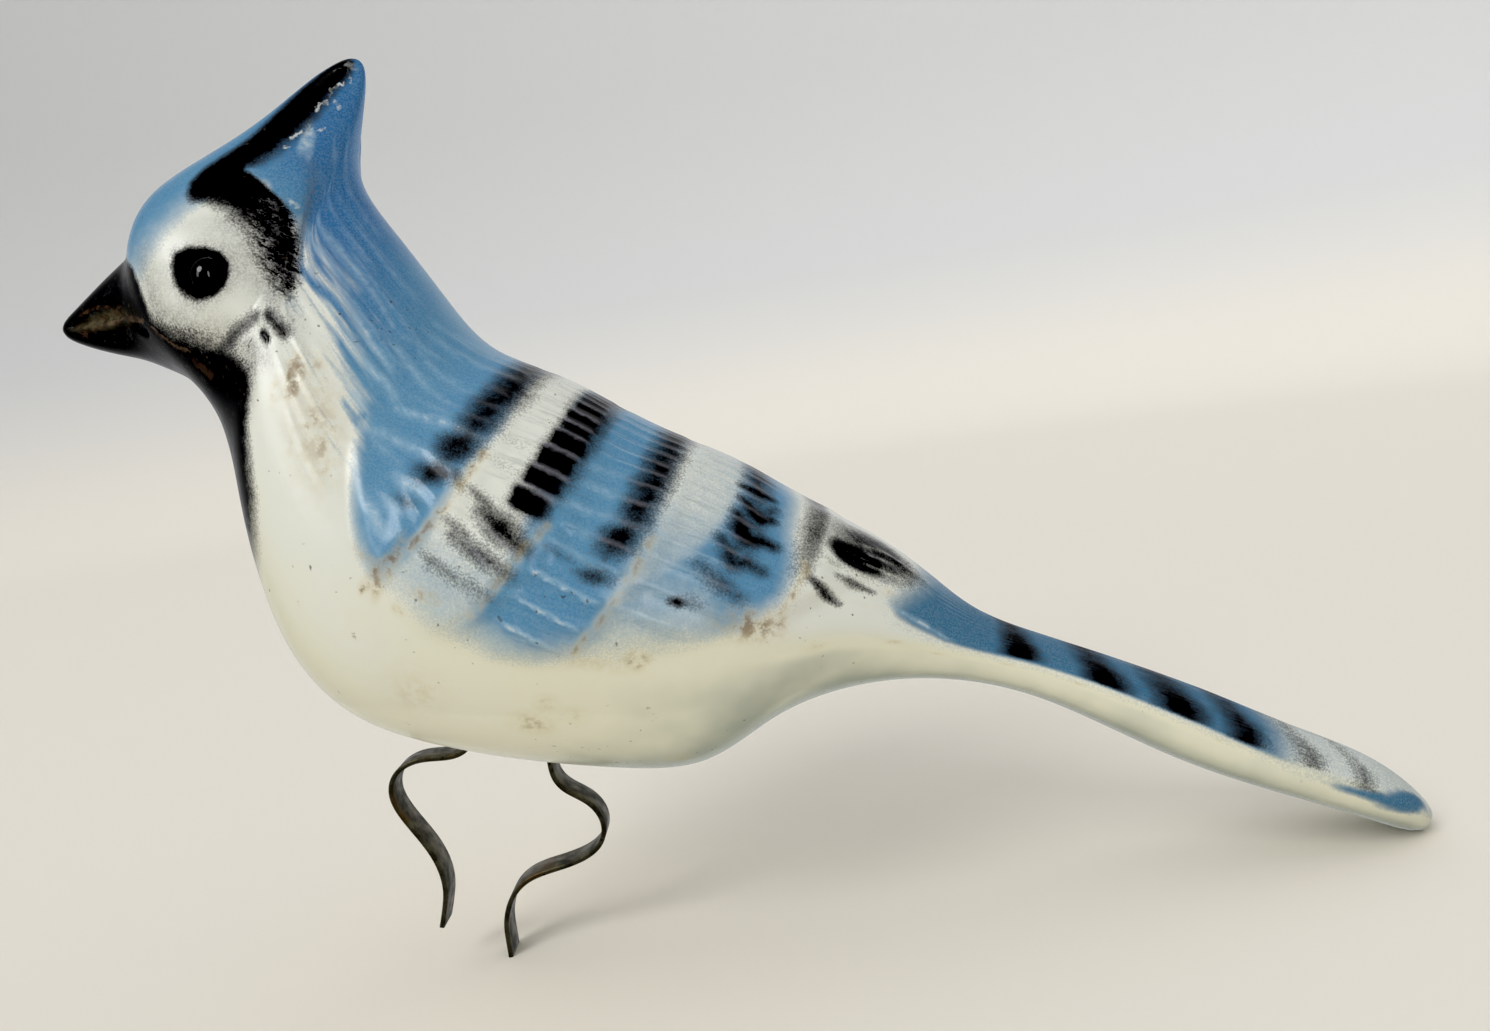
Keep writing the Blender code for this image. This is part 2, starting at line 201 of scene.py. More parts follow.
def even_places(lengths, count):
    """The places, 0 to 1, that divide a line with these running lengths evenly."""
    wanted = np.linspace(0, lengths[-1], count)
    return np.interp(wanted, lengths, np.linspace(0, 1, len(lengths)))


def rise(value, start, end):
    """0 up to start and 1 from end on, with a smooth rise between them."""
    part = np.clip((value - start) / (end - start), 0, 1)
    return part * part * (3 - 2 * part)


def hump(value, start, full, still_full, end):
    """0 outside start to end, 1 from full to still_full, smooth between."""
    return rise(value, start, full) * (1 - rise(value, still_full, end))


def ridge(distance, half_width):
    """1 on a line, falling smoothly to 0 at half_width from it."""
    return 1 - rise(np.abs(distance), 0, half_width)


def through(points, value):
    """The second number at this value of the first, along straight runs between points."""
    firsts, seconds = zip(*points)
    return np.interp(value, firsts, seconds)


def thickest(coverages):
    """The thickest of several coverages at each point, and never less than 0."""
    return reduce(np.maximum, coverages, 0.0)


def nearest_on_line(x, z, line, values):
    """How far each point is from a line of straight runs, and the value at its nearest place."""
    nearest = np.full(np.broadcast(x, z).shape, np.inf)
    found = np.zeros(nearest.shape)
    for (x0, z0), (x1, z1), value0, value1 in zip(line, line[1:], values, values[1:]):
        run_x, run_z = x1 - x0, z1 - z0
        along = ((x - x0) * run_x + (z - z0) * run_z) / (run_x**2 + run_z**2)
        along = np.clip(along, 0, 1)
        distance = np.hypot(x - x0 - along * run_x, z - z0 - along * run_z)
        found = np.where(distance < nearest, value0 + (value1 - value0) * along, found)
        nearest = np.minimum(nearest, distance)
    return nearest, found


def line_distance(x, z, line):
    """How far each point is from a line of straight runs, all on the side view."""
    return nearest_on_line(x, z, line, range(len(line)))[0]


def inside_depth(x, z, outline):
    """How deep each point lies inside a closed outline on the side view; less than 0 outside."""
    closed = (*outline, outline[0])
    inside = np.zeros(np.shape(x), bool)
    for (x0, z0), (x1, z1) in zip(closed, closed[1:]):
        if z0 == z1:
            continue
        crosses = (z0 > z) != (z1 > z)
        inside ^= crosses & (x < x0 + (x1 - x0) * (z - z0) / (z1 - z0))
    distance = line_distance(x, z, closed)
    return np.where(inside, distance, -distance)


def coverage(depth, softness):
    """Paint coverage from the depth inside its edge: a half on the edge, ramped over softness."""
    return np.clip(0.5 + depth / softness, 0, 1)


def painted_patch(x, z, outline):
    """Coverage inside an outline whose points each carry how soft the edge is there."""
    closed = (*outline, outline[0])
    softness = nearest_on_line(x, z, side_points(closed), [point[2] for point in closed])[1]
    return coverage(inside_depth(x, z, side_points(outline)), softness)


def side_points(outline):
    """The places alone of an outline whose points carry a softness too."""
    return [point[:2] for point in outline]


def nearest_on_skin(rib, share, line):
    """The distance to a line through places on the skin, in shares, and how far along it."""
    line = [(at * RIB_IN_SHARES, up) for at, up in line]
    steps = [np.hypot(across1 - across0, up1 - up0)
             for (across0, up0), (across1, up1) in zip(line, line[1:])]
    lengths = running_length(steps)
    return nearest_on_line(rib * RIB_IN_SHARES, share, line, lengths / lengths[-1])


def brushed(rib, share, line, half_width, softness):
    """Coverage of a brushed line through places on the skin, narrower towards its ends."""
    distance, reached = nearest_on_skin(rib, share, line)
    swell = np.sin(np.pi * np.clip(reached, *STROKE_TAPER))
    width = half_width * (STROKE_END_WIDTH + (1 - STROKE_END_WIDTH) * swell)
    return coverage(width - distance, softness)


def brushed_marks(rib, share, marks, softness):
    """The thickest of several brushed lines, each with its half width and its thickness."""
    return thickest(thickness * brushed(rib, share, line, half_width, softness)
                    for line, half_width, thickness in marks)


def even_marks(rib, share, marks, softness):
    """The thickest of several lines of even width, each with its half width and thickness."""
    return thickest(
        thickness * coverage(half_width - nearest_on_skin(rib, share, line)[0], softness)
        for line, half_width, thickness in marks
    )


def scraped(covered, rib, share, marks, part, softness):
    """A coverage with a part of it scraped off along each line, which has its half width."""
    for line, half_width in marks:
        covered = covered * (1 - part * brushed(rib, share, line, half_width, softness))
    return covered


def blob(rib, share, place, size, tilt, softness):
    """Coverage of an oval patch; tilt is how far its share falls over one rib."""
    across = (rib - place[0]) / size[0]
    up = (share - place[1] + tilt * (rib - place[0])) / size[1]
    return coverage(1 - np.hypot(across, up), softness)


def ripple(first, second, turn):
    """A smooth uneven wave of two coordinates, between about -1 and 1, always the same."""
    waves = [np.sin(first_rate * first + second_rate * second + turn_part * turn + start)
             for first_rate, second_rate, turn_part, start in RIPPLE_WAVES]
    return sum(waves) / RIPPLE_HEIGHT


# The skin's form


def rib_places(count):
    """Places along the ribs that space the rings by need."""
    places = np.linspace(0, 1, CURVE_SAMPLES)
    ribs = b_spline(RIBS, places)
    steps = np.abs(np.diff(ribs[:, :5], axis=0))
    top = np.hypot(steps[:, 0], steps[:, 1])
    bottom = np.hypot(steps[:, 2], steps[:, 3])
    furthest = np.maximum(np.maximum(top, bottom), steps[:, 4])
    rib = places[1:] * (len(RIBS) - 1)
    need = 1 + HEAD_RING_CROWDING * hump(rib, *HEAD_RING_RIBS)
    need = need + WING_RING_CROWDING * hump(rib, *WING_RING_RIBS)
    need = need - TAIL_RING_SPREAD * rise(rib, *TAIL_RING_RIBS)
    return even_places(running_length(furthest * need), count)


def side_shares(count):
    """Shares of the way up a side, closer together where the wing is."""
    even = np.linspace(0, 1, CURVE_SAMPLES)
    need = 1 + SIDE_CROWDING * hump(even[1:], *SIDE_CROWDED_SHARES)
    return even_places(running_length(need), count)


def half_section(rib, shares):
    """Points up one side of a rib, at these shares of the way from the bottom to the top."""
    top_x, top_z, bottom_x, bottom_z, half_width, widest, pinch_above, pinch_below = rib
    turn = np.linspace(0, np.pi, CURVE_SAMPLES)
    below = turn < np.pi / 2
    height = widest - np.where(below, widest, 1 - widest) * np.cos(turn)
    pinch = np.where(below, pinch_below, pinch_above)
    round_out = np.maximum(np.sin(turn), 0)
    out = half_width * ((1 - pinch) * round_out + pinch * round_out**PINCH_POWER)
    across = bottom_x + (top_x - bottom_x) * height
    up = bottom_z + (top_z - bottom_z) * height
    points = np.stack([across, out, up], axis=1)
    lengths = running_length(np.linalg.norm(np.diff(points, axis=0), axis=1))
    wanted = shares * lengths[-1]
    return np.stack([np.interp(wanted, lengths, points[:, axis]) for axis in range(3)], axis=1)


def outward(grid):
    """The direction straight out of the skin at each point of the grid."""
    along = np.gradient(grid, axis=0)
    around = np.roll(grid, -1, axis=1) - np.roll(grid, 1, axis=1)
    out = np.cross(around, along)
    return out / np.linalg.norm(out, axis=2, keepdims=True)


def wing_edge(rib):
    """How far up the side the wing's lower edge runs at this rib."""
    ahead = np.maximum(WING_LOWEST_RIB - rib, 0)
    behind = np.maximum(rib - WING_LOWEST_RIB, 0)
    climb_ahead = WING_CLIMB_AHEAD[0] * ahead ** WING_CLIMB_AHEAD[1]
    climb_behind = WING_CLIMB_BEHIND[0] * behind ** WING_CLIMB_BEHIND[1]
    return WING_LOWEST_SHARE + climb_ahead + climb_behind


def row_back_edge(row_rib, sweep, share):
    """The rib at which a row of feathers ends, at this share of the way up."""
    return row_rib - sweep * np.maximum(FEATHER_SWEEP_SHARE - share, 0) ** 2


def on_wing_share(rib, share):
    """1 on the wing, falling to 0 over its lower edge, on the back and at the shoulder."""
    edge = wing_edge(rib)
    on_wing = rise(share, edge, edge + WING_EDGE_SHARE)
    on_wing = on_wing * (1 - (1 - WING_HEIGHT_KEPT_ON_TOP) * rise(share, *WING_TOP_SHARES))
    return on_wing * (1 - rise(share, *SHOULDER_SHARES) * (1 - rise(rib, *SHOULDER_RIBS)))


def wing_relief(rib, share):
    """The raised wing: its lower edge, and three rows of feathers that overlap like tiles."""
    on_wing = on_wing_share(rib, share)
    past_tip = rise(rib, WING_TIP_RIB, WING_TIP_RIB + WING_TIP_FADE)
    raised = WING_HEIGHT * on_wing * (1 - past_tip)
    for row_rib, sweep in zip(FEATHER_ROW_RIBS, FEATHER_ROW_SWEEPS):
        behind = rib - row_back_edge(row_rib, sweep, share)
        tile = rise(behind, -FEATHER_ROW_LENGTH, 0) * (1 - rise(behind, 0, FEATHER_ROW_STEP))
        below_back = 1 - rise(share, *FEATHER_ROW_TOP_SHARES)
        raised = raised + FEATHER_ROW_HEIGHT * tile * on_wing * below_back
    lip = rise(rib, WING_TIP_RIB - WING_TIP_LIP_START, WING_TIP_RIB)
    lip = lip * (1 - rise(rib, WING_TIP_RIB, WING_TIP_RIB + WING_TIP_LIP_END))
    return raised + FEATHER_ROW_HEIGHT * lip * on_wing


def face_relief(x, z):
    """The bead of the eye in its shallow ring, and the line between the beak's two halves."""
    from_eye = np.hypot(x - EYE_X, z - EYE_Z)
    ring = -EYE_RING_DEPTH * ridge(from_eye - EYE_RADIUS, EYE_RING_RADIUS - EYE_RADIUS)
    bead = EYE_PROUD * np.clip(1 - (from_eye / EYE_BEAD_RADIUS) ** 2, 0, 1) ** EYE_ROUNDNESS
    return ring + bead - GAPE_DEPTH * ridge(line_distance(x, z, GAPE), GAPE_HALF_WIDTH)


# Thin crests between the feathers of each row: the shares they run at, the rib where they do,
# how fast those shares fall from rib to rib, low and high up, and the rib where they begin
FEATHER_CRESTS = (
    ((0.536, 0.578, 0.616, 0.664, 0.728, 0.757, 0.788, 0.822, 0.864, 0.902, 0.936, 0.97),
     17.4, 0.10, 0.02, 16.95),
    ((0.444, 0.488, 0.535, 0.578, 0.626, 0.676, 0.711, 0.752, 0.790, 0.815, 0.846, 0.878, 0.906,
      0.934, 0.965),
     18.3, 0.09, 0.01, 17.1),
    ((0.420, 0.462, 0.505, 0.552, 0.608, 0.642, 0.677, 0.716, 0.752, 0.782, 0.808, 0.835, 0.862,
      0.892, 0.93, 0.965),
     19.0, 0.03, 0.0, 18.3),
    ((0.470, 0.540, 0.590, 0.635, 0.669, 0.698, 0.727, 0.763, 0.798, 0.830, 0.860, 0.900, 0.93,
      0.955, 0.98),
     19.9, 0.02, 0.02, 19.3),
)
# Which shares count as low and as high up, and the ribs over which the last crests fade
LOW_AND_HIGH_SHARES = (0.55, 0.72)
LAST_CREST_RIBS = (20.1, 20.6)
FEATHER_CREST_HEIGHT = 0.3
# How much of a feather's width its crest takes, to where it fades out
FEATHER_CREST_WIDTH = 0.42
# Over how many ribs the crests fade in, and how they fade at the edges of their row
CREST_START_FADE = 0.3
ROW_EDGE_FADE = (0.02, 0.14)

# Arching strokes on the shoulder: each one's highest share, and its first and last rib. All of
# them are highest at the same rib
SHOULDER_ARCHES = (
    (0.905, 15.9, 17.2), (0.872, 16.3, 17.3), (0.842, 15.6, 17.0), (0.815, 16.2, 17.4),
    (0.790, 15.8, 17.3), (0.768, 16.4, 17.5), (0.748, 15.9, 17.5), (0.722, 16.2, 17.4),
    (0.682, 16.0, 17.5), (0.630, 16.6, 17.4), (0.588, 16.5, 17.3), (0.552, 16.4, 17.2),
)
SHOULDER_ARCH_RIB = 17.0
SHOULDER_ARCH_BEND = 0.03
SHOULDER_ARCH_HEIGHT = 0.2

# Long shallow strokes down the neck: share, first and last rib
NECK_STROKES = (
    (0.930, 12.4, 15.2), (0.895, 13.6, 16.2), (0.862, 12.8, 15.4), (0.838, 14.4, 16.4),
    (0.815, 13.4, 15.8), (0.790, 13.8, 15.2), (0.768, 14.2, 16.4), (0.745, 13.6, 15.6),
    (0.722, 14.4, 16.4), (0.695, 13.9, 15.6), (0.662, 14.6, 16.3), (0.632, 13.8, 15.4),
    (0.600, 14.6, 16.2), (0.565, 14.2, 15.8), (0.530, 14.8, 16.2),
)
NECK_STROKE_HEIGHT = 0.22
NECK_STROKE_HALF_WIDTH = 0.014
NECK_STROKE_FADE = 0.5
# How far the strokes sway up and down, how fast they do, and how much one is out of step with
# the next
NECK_STROKE_SWAY = 0.006
NECK_STROKE_SWAY_RATE = 2.2
NECK_STROKE_SWAY_STEP = 20

# Barbs at the back of the mask, and the strokes of the rump behind the wing tips
MASK_BARBS = (
    (0.665, 11.4, 13.2), (0.690, 12.2, 13.8), (0.640, 12.0, 13.6), (0.615, 12.6, 14.0),
    (0.715, 13.0, 14.2),
)
RUMP_STROKES = (
    ((21.15, 0.755), (21.9, 0.735)), ((21.15, 0.715), (22.2, 0.690)),
    ((21.3, 0.690), (22.3, 0.655)), ((21.7, 0.745), (22.6, 0.715)),
    ((22.0, 0.800), (22.9, 0.775)), ((21.9, 0.850), (22.8, 0.835)),
)
RUMP_STROKE_HEIGHT = 0.3
RUMP_STROKE_HALF_WIDTH = 0.014
RUMP_STROKE_SOFTNESS = 0.02

# The tuft behind the cheek and the two slits in it, on the side view
TUFT = ((-67.4, 110.6), (-66.4, 112.4), (-65.0, 112.4), (-63.6, 109.6), (-62.8, 107.0),
        (-64.6, 106.4), (-66.8, 107.8))
TUFT_HEIGHT = 0.5
TUFT_EDGE_WIDTH = 1.6
TUFT_SLITS = (
    ((-65.7, 109.6), (-64.8, 108.4), (-64.1, 107.3), (-63.6, 106.7)),
    ((-66.9, 107.2), (-66.2, 106.2)),
)
SLIT_DEPTH = 0.45
SLIT_HALF_WIDTH = 0.75

# Fine lengthwise lines on the tail
TAIL_LINE_RIBS = (22.6, 24.0, 28.5, 29.6)
TAIL_LINE_SHARES = (0.54, 0.62)
TAIL_LINES = 34
TAIL_LINE_HEIGHT = 0.09
TAIL_LINE_SWAY = 0.8
TAIL_LINE_SWAY_RATE = 3


def window(rib, first, last, fade):
    """1 between two ribs, fading to 0 inside either end."""
    return hump(rib, first, first + fade, last - fade, last)


def feather_count(rib, share):
    """Counts the feathers up the wing, whole on each crest, and 1 where there are crests."""
    shape = np.broadcast(rib, share).shape
    count = np.zeros(shape)
    there = np.zeros(shape)
    row_start = np.full(shape, -np.inf)
    edges = [row_back_edge(row_rib, sweep, share)
             for row_rib, sweep in zip(FEATHER_ROW_RIBS, FEATHER_ROW_SWEEPS)]
    edges.append(np.full(shape, LAST_CREST_RIBS[1]))
    for (shares, middle, low_fall, high_fall, first_rib), row_end in zip(FEATHER_CRESTS, edges):
        fall = low_fall + (high_fall - low_fall) * rise(share, *LOW_AND_HIGH_SHARES)
        level = share + fall * (rib - middle)
        in_row = (rib >= row_start) & (rib < row_end)
        here = rise(rib, first_rib, first_rib + CREST_START_FADE)
        here = here * rise(rib - row_start, *ROW_EDGE_FADE) * rise(row_end - rib, *ROW_EDGE_FADE)
        count = np.where(in_row, np.interp(level, shares, np.arange(len(shares))), count)
        there = np.where(in_row, here, there)
        row_start = np.broadcast_to(row_end, shape)
    there = there * (1 - rise(rib, *LAST_CREST_RIBS))
    return count, there * on_wing_share(rib, share)


def feather_crests(rib, share):
    """How far each point lies up a thin crest between feathers, 0 to 1."""
    count, there = feather_count(rib, share)
    from_crest = np.abs(count - np.round(count))
    return there * ridge(from_crest, FEATHER_CREST_WIDTH)


def long_stroke(rib, distance, first, last):
    """1 along a stroke between two ribs, falling to 0 at its edges and over its ends."""
    return ridge(distance, NECK_STROKE_HALF_WIDTH) * window(rib, first, last, NECK_STROKE_FADE)


def shoulder_arches(rib, share):
    bend = SHOULDER_ARCH_BEND * (rib - SHOULDER_ARCH_RIB) ** 2
    return thickest(long_stroke(rib, share - at + bend, first, last)
                    for at, first, last in SHOULDER_ARCHES)


def neck_strokes(rib, share):
    strokes = []
    for at, first, last in NECK_STROKES + MASK_BARBS:
        sway = np.sin(NECK_STROKE_SWAY_RATE * rib + NECK_STROKE_SWAY_STEP * at)
        distance = share - at + NECK_STROKE_SWAY * sway
        strokes.append(long_stroke(rib, distance, first, last))
    return thickest(strokes)


def rump_strokes(rib, share):
    return thickest(
        brushed(rib, share, line, RUMP_STROKE_HALF_WIDTH, RUMP_STROKE_SOFTNESS)
        for line in RUMP_STROKES
    )


def fine_relief(rib, share, x, z):
    """The feathers' own relief over the carved form."""
    raised = FEATHER_CREST_HEIGHT * feather_crests(rib, share)
    raised = raised + SHOULDER_ARCH_HEIGHT * shoulder_arches(rib, share)
    raised = raised + NECK_STROKE_HEIGHT * neck_strokes(rib, share)
    raised = raised + RUMP_STROKE_HEIGHT * rump_strokes(rib, share)
    raised = raised + TUFT_HEIGHT * coverage(inside_depth(x, z, TUFT), TUFT_EDGE_WIDTH)
    for slit in TUFT_SLITS:
        raised = raised - SLIT_DEPTH * ridge(line_distance(x, z, slit), SLIT_HALF_WIDTH)
    sway = TAIL_LINE_SWAY * np.sin(TAIL_LINE_SWAY_RATE * rib)
    lines = np.cos(2 * np.pi * TAIL_LINES * share + sway)
    lined = hump(rib, *TAIL_LINE_RIBS) * rise(share, *TAIL_LINE_SHARES)
    return raised + TAIL_LINE_HEIGHT * lines * lined


# The paint


# How far the edges of the blue and of the bands sway, how fast they do over the ribs and over the
# shares, and where the sway starts
BLUE_SWAY = (0.006, 2, 16, 0.4)
BAND_SWAY = (0.02, 1, 40, 2.0)

# The lowest share that blue reaches at each rib, from the forehead to the wing tips, with how
# softly it ends there, in shares
BLUE_LOWER_EDGE = (
    (5.0, 0.90, 0.10), (5.6, 0.76, 0.14), (6.0, 0.64, 0.20), (6.5, 0.590, 0.26),
    (7.0, 0.600, 0.26), (7.5, 0.640, 0.24), (8.0, 0.690, 0.20), (8.4, 0.715, 0.14),
    (9.0, 0.740, 0.06), (9.6, 0.735, 0.05), (10.2, 0.700, 0.04), (10.8, 0.655, 0.03),
    (11.5, 0.635, 0.03), (12.0, 0.645, 0.05), (12.5, 0.675, 0.06), (13.0, 0.705, 0.11),
    (13.5, 0.738, 0.14), (14.0, 0.762, 0.15), (14.5, 0.775, 0.16), (15.0, 0.760, 0.16),
    (15.3, 0.732, 0.15), (15.6, 0.702, 0.14), (15.9, 0.680, 0.12), (16.15, 0.640, 0.11),
    (16.3, 0.595, 0.10), (16.45, 0.555, 0.09), (16.7, 0.515, 0.08), (17.0, 0.492, 0.07),
    (17.4, 0.480, 0.08), (17.8, 0.460, 0.09), (18.1, 0.460, 0.09), (18.5, 0.447, 0.09),
    (18.9, 0.458, 0.09), (19.2, 0.480, 0.10), (19.5, 0.495, 0.11), (19.9, 0.515, 0.12),
    (20.2, 0.540, 0.10), (20.5, 0.575, 0.09), (20.8, 0.610, 0.09), (21.05, 0.650, 0.09),
)
# The rib where the wing's blue ends at each share
BLUE_WING_END = ((0.55, 20.80), (0.62, 20.88), (0.70, 20.86), (0.78, 20.68), (1.0, 20.58))
BLUE_WING_END_SOFTNESS = 0.35

# White bands across the wing: a share, and the ribs at which the band begins and ends there
WHITE_BANDS = (
    (
        (0.42, 17.05, 18.02), (0.46, 17.12, 18.12), (0.50, 17.22, 18.24), (0.56, 17.42, 18.38),
        (0.60, 17.46, 18.40), (0.65, 17.52, 18.36), (0.70, 17.62, 18.34), (0.75, 17.70, 18.32),
        (1.0, 17.74, 18.32),
    ),
    (
        (0.58, 19.42, 19.46), (0.62, 19.42, 19.70), (0.66, 19.40, 19.92), (0.72, 19.38, 20.06),
        (0.80, 19.38, 20.14), (1.0, 19.38, 20.14),
    ),
)
WHITE_FRONT_SOFTNESS = 0.22
WHITE_BACK_SOFTNESS = 0.18
# How far above and below its lowest share a band fades out
WHITE_LOW_FADE = 0.05
# How clean of blue the white is at each rib, and at each share of either band
WHITE_KEPT = ((18.4, 1.0), (19.4, 0.88), (19.9, 0.84), (20.2, 0.70))
WHITE_KEPT_BELOW = (
    ((0.46, 0.55), (0.52, 0.72), (0.60, 0.94), (0.68, 1.0)),
    ((0.58, 0.30), (0.64, 0.50), (0.68, 0.72), (0.74, 0.94), (0.80, 1.0)),
)
# How worn the crests between the feathers are at each rib
CREST_WEAR = ((17.0, 0.35), (17.75, 0.35), (18.05, 1.0), (18.62, 1.0), (18.75, 0.9), (19.05, 0.8),
              (19.45, 0.6), (19.8, 0.9), (20.1, 0.75))
# Where the blue was sprayed thinly, low on the third row of feathers, and how much is there
THIN_BLUE_RIBS = (19.15, 19.45, 20.1, 20.5)
THIN_BLUE_SHARES = (0.58, 0.70)
THIN_BLUE_KEPT = 0.50

# Black bands across the wing: a share, the rib of the band's middle there, half its length
# in ribs and how thickly it is laid
FIRST_BLACK = (
    (0.575, 17.08, 0.08, 0.0), (0.592, 17.08, 0.15, 0.55), (0.614, 17.10, 0.10, 0.06),
    (0.634, 17.20, 0.17, 0.62), (0.650, 17.25, 0.24, 0.95), (0.668, 17.32, 0.15, 0.42),
    (0.685, 17.37, 0.22, 0.80), (0.705, 17.38, 0.24, 0.90), (0.728, 17.45, 0.18, 0.55),
    (0.745, 17.48, 0.21, 0.85), (0.770, 17.50, 0.21, 0.80), (0.803, 17.56, 0.22, 0.88),
    (0.838, 17.60, 0.22, 0.88), (0.906, 17.63, 0.20, 0.85), (1.0, 17.66, 0.19, 0.78),
)
SECOND_BLACK_SPRAY = (
    (0.55, 18.10, 0.20, 0.0), (0.60, 18.22, 0.22, 0.16), (0.66, 18.34, 0.22, 0.45),
    (0.72, 18.42, 0.21, 0.80), (0.80, 18.46, 0.20, 0.90), (0.90, 18.48, 0.19, 0.90),
    (1.0, 18.49, 0.19, 0.85),
)
THIRD_BLACK = (
    (0.562, 19.08, 0.10, 0.0), (0.582, 19.12, 0.15, 0.80), (0.602, 19.14, 0.12, 0.14),
    (0.632, 19.20, 0.15, 0.78), (0.655, 19.22, 0.16, 0.92), (0.672, 19.26, 0.14, 0.66),
    (0.700, 19.28, 0.15, 0.90), (0.722, 19.28, 0.15, 0.84), (0.750, 19.29, 0.15, 0.92),
    (0.780, 19.30, 0.15, 0.88), (0.810, 19.31, 0.15, 0.92), (0.845, 19.32, 0.15, 0.86),
    (0.90, 19.32, 0.15, 0.90), (1.0, 19.32, 0.15, 0.84),
)
FOURTH_BLACK_SPRAY = (
    (0.615, 20.22, 0.12, 0.0), (0.645, 20.24, 0.16, 0.22), (0.680, 20.30, 0.16, 0.42),
    (0.74, 20.32, 0.18, 0.58), (0.82, 20.30, 0.16, 0.55), (0.88, 20.25, 0.14, 0.75),
    (1.0, 20.22, 0.15, 0.80),
)
FIRST_BAND_SOFTNESS = 0.34
LATER_BAND_SOFTNESS = 0.255

# The strongest bars, where black pooled on single feathers: shares, ribs, thickness
SECOND_BLACK_BARS = (
    ((0.906, 0.965), (18.28, 18.66), 0.80), ((0.878, 0.906), (18.28, 18.66), 0.88),
    ((0.846, 0.878), (18.28, 18.66), 1.1), ((0.815, 0.846), (18.26, 18.63), 1.25),
    ((0.790, 0.815), (18.25, 18.61), 1.1), ((0.752, 0.790), (18.24, 18.60), 1.4),
    ((0.711, 0.752), (18.20, 18.57), 1.4), ((0.676, 0.711), (18.16, 18.55), 1.25),
    ((0.636, 0.672), (18.12, 18.50), 1.25),
)
BAR_TILT = 0.015
BAR_SIDE_SOFTNESS = 0.014
BAR_FRONT_SOFTNESS = 0.10
BAR_BACK_SOFTNESS = 0.22

# Black that pooled in single strokes: the line, its half width, its softness, its thickness
BLACK_STROKES = (
    (((17.94, 0.618), (18.15, 0.604), (18.40, 0.588)), 0.014, 0.039, 1.1),
    (((17.74, 0.572), (18.05, 0.558), (18.38, 0.545)), 0.008, 0.033, 0.9),
    (((17.60, 0.526), (17.95, 0.516), (18.28, 0.507)), 0.006, 0.030, 0.6),
    (((20.14, 0.843), (20.27, 0.845), (20.42, 0.843)), 0.014, 0.024, 1.1),
    (((20.17, 0.808), (20.29, 0.788), (20.38, 0.776), (20.50, 0.786)), 0.013, 0.024, 1.15),
    (((20.40, 0.785), (20.45, 0.803), (20.50, 0.822)), 0.008, 0.027, 0.85),
    (((20.17, 0.770), (20.24, 0.740), (20.34, 0.722), (20.45, 0.732), (20.60, 0.730)),
     0.015, 0.030, 1.15),
    (((20.10, 0.706), (20.20, 0.688), (20.29, 0.670), (20.40, 0.680), (20.58, 0.673)),
     0.011, 0.033, 1.0),
    (((20.30, 0.722), (20.24, 0.700), (20.20, 0.686)), 0.012, 0.039, 0.8),
    (((20.00, 0.648), (20.22, 0.629), (20.46, 0.614)), 0.011, 0.039, 0.70),
    (((19.87, 0.577), (19.96, 0.580)), 0.008, 0.015, 1.1),
    (((19.98, 0.585), (20.10, 0.584)), 0.008, 0.030, 0.5),
    (((18.60, 0.603), (18.92, 0.594)), 0.004, 0.021, 0.5),
)
# Grey behind the tips of the wing: the two ribs between which it lies, each with how soft it is
# there, and how thick it is at each share
GREY_BEHIND_WING_ENDS = ((20.86, 0.24), (21.16, 0.16))
GREY_BEHIND_WING = ((0.55, 0.0), (0.66, 0.10), (0.72, 0.42), (0.80, 0.66), (1.0, 0.60))
# Grey stripes in the first white band, painted shade beside the crests of its feathers: the line,
# its half width and its thickness
GREY_STRIPES = (
    (((17.72, 0.645), (18.08, 0.618)), 0.009, 0.6), (((17.60, 0.592), (17.95, 0.570)), 0.008, 0.6),
    (((17.50, 0.534), (17.88, 0.520)), 0.007, 0.5), (((17.42, 0.664), (17.62, 0.642)), 0.012, 0.5),
    (((17.75, 0.700), (18.10, 0.690)), 0.006, 0.25),
    (((17.70, 0.740), (18.20, 0.732)), 0.006, 0.22),
)
STROKE_SOFTNESS = 0.018

# The dark oval on the rump and its tail: place, size, tilt, softness and thickness
RUMP_OVALS = (
    ((21.70, 0.782), (0.46, 0.040), 0.03, 0.6, 1.25),
    ((21.98, 0.840), (0.68, 0.088), 0.02, 1.0, 0.85),
)
# The pale scratches in it: the line and its half width, and how deep and how soft they are
RUMP_SCRATCHES = (
    (((21.45, 0.790), (21.95, 0.786)), 0.005), (((21.60, 0.768), (22.1, 0.774)), 0.004),
    (((21.75, 0.808), (22.35, 0.822)), 0.005), (((21.9, 0.768), (22.4, 0.776)), 0.006),
    (((22.0, 0.850), (22.5, 0.856)), 0.005), (((21.6, 0.835), (22.1, 0.850)), 0.005),
)
RUMP_SCRATCH_DEPTH = 0.45
RUMP_SCRATCH_SOFTNESS = 0.012
# Dark strokes below it: the line, its half width and its thickness
RUMP_DARK_STROKES = (
    (((21.13, 0.690), (21.72, 0.642)), 0.009, 0.95),
    (((21.50, 0.712), (22.12, 0.690)), 0.012, 0.62),
    (((21.02, 0.730), (21.10, 0.690)), 0.008, 0.55),
    (((21.2, 0.745), (21.6, 0.735)), 0.008, 0.30),
)

# The bands round the tail: the rib, half the length, the thickness and the lowest share
TAIL_BANDS = (
    (24.32, 0.17, 1.15, 0.575), (25.10, 0.15, 1.15, 0.565), (25.68, 0.17, 1.05, 0.562),
    (26.20, 0.12, 1.1, 0.552), (26.82, 0.13, 0.60, 0.545), (27.50, 0.16, 0.50, 0.52),
)
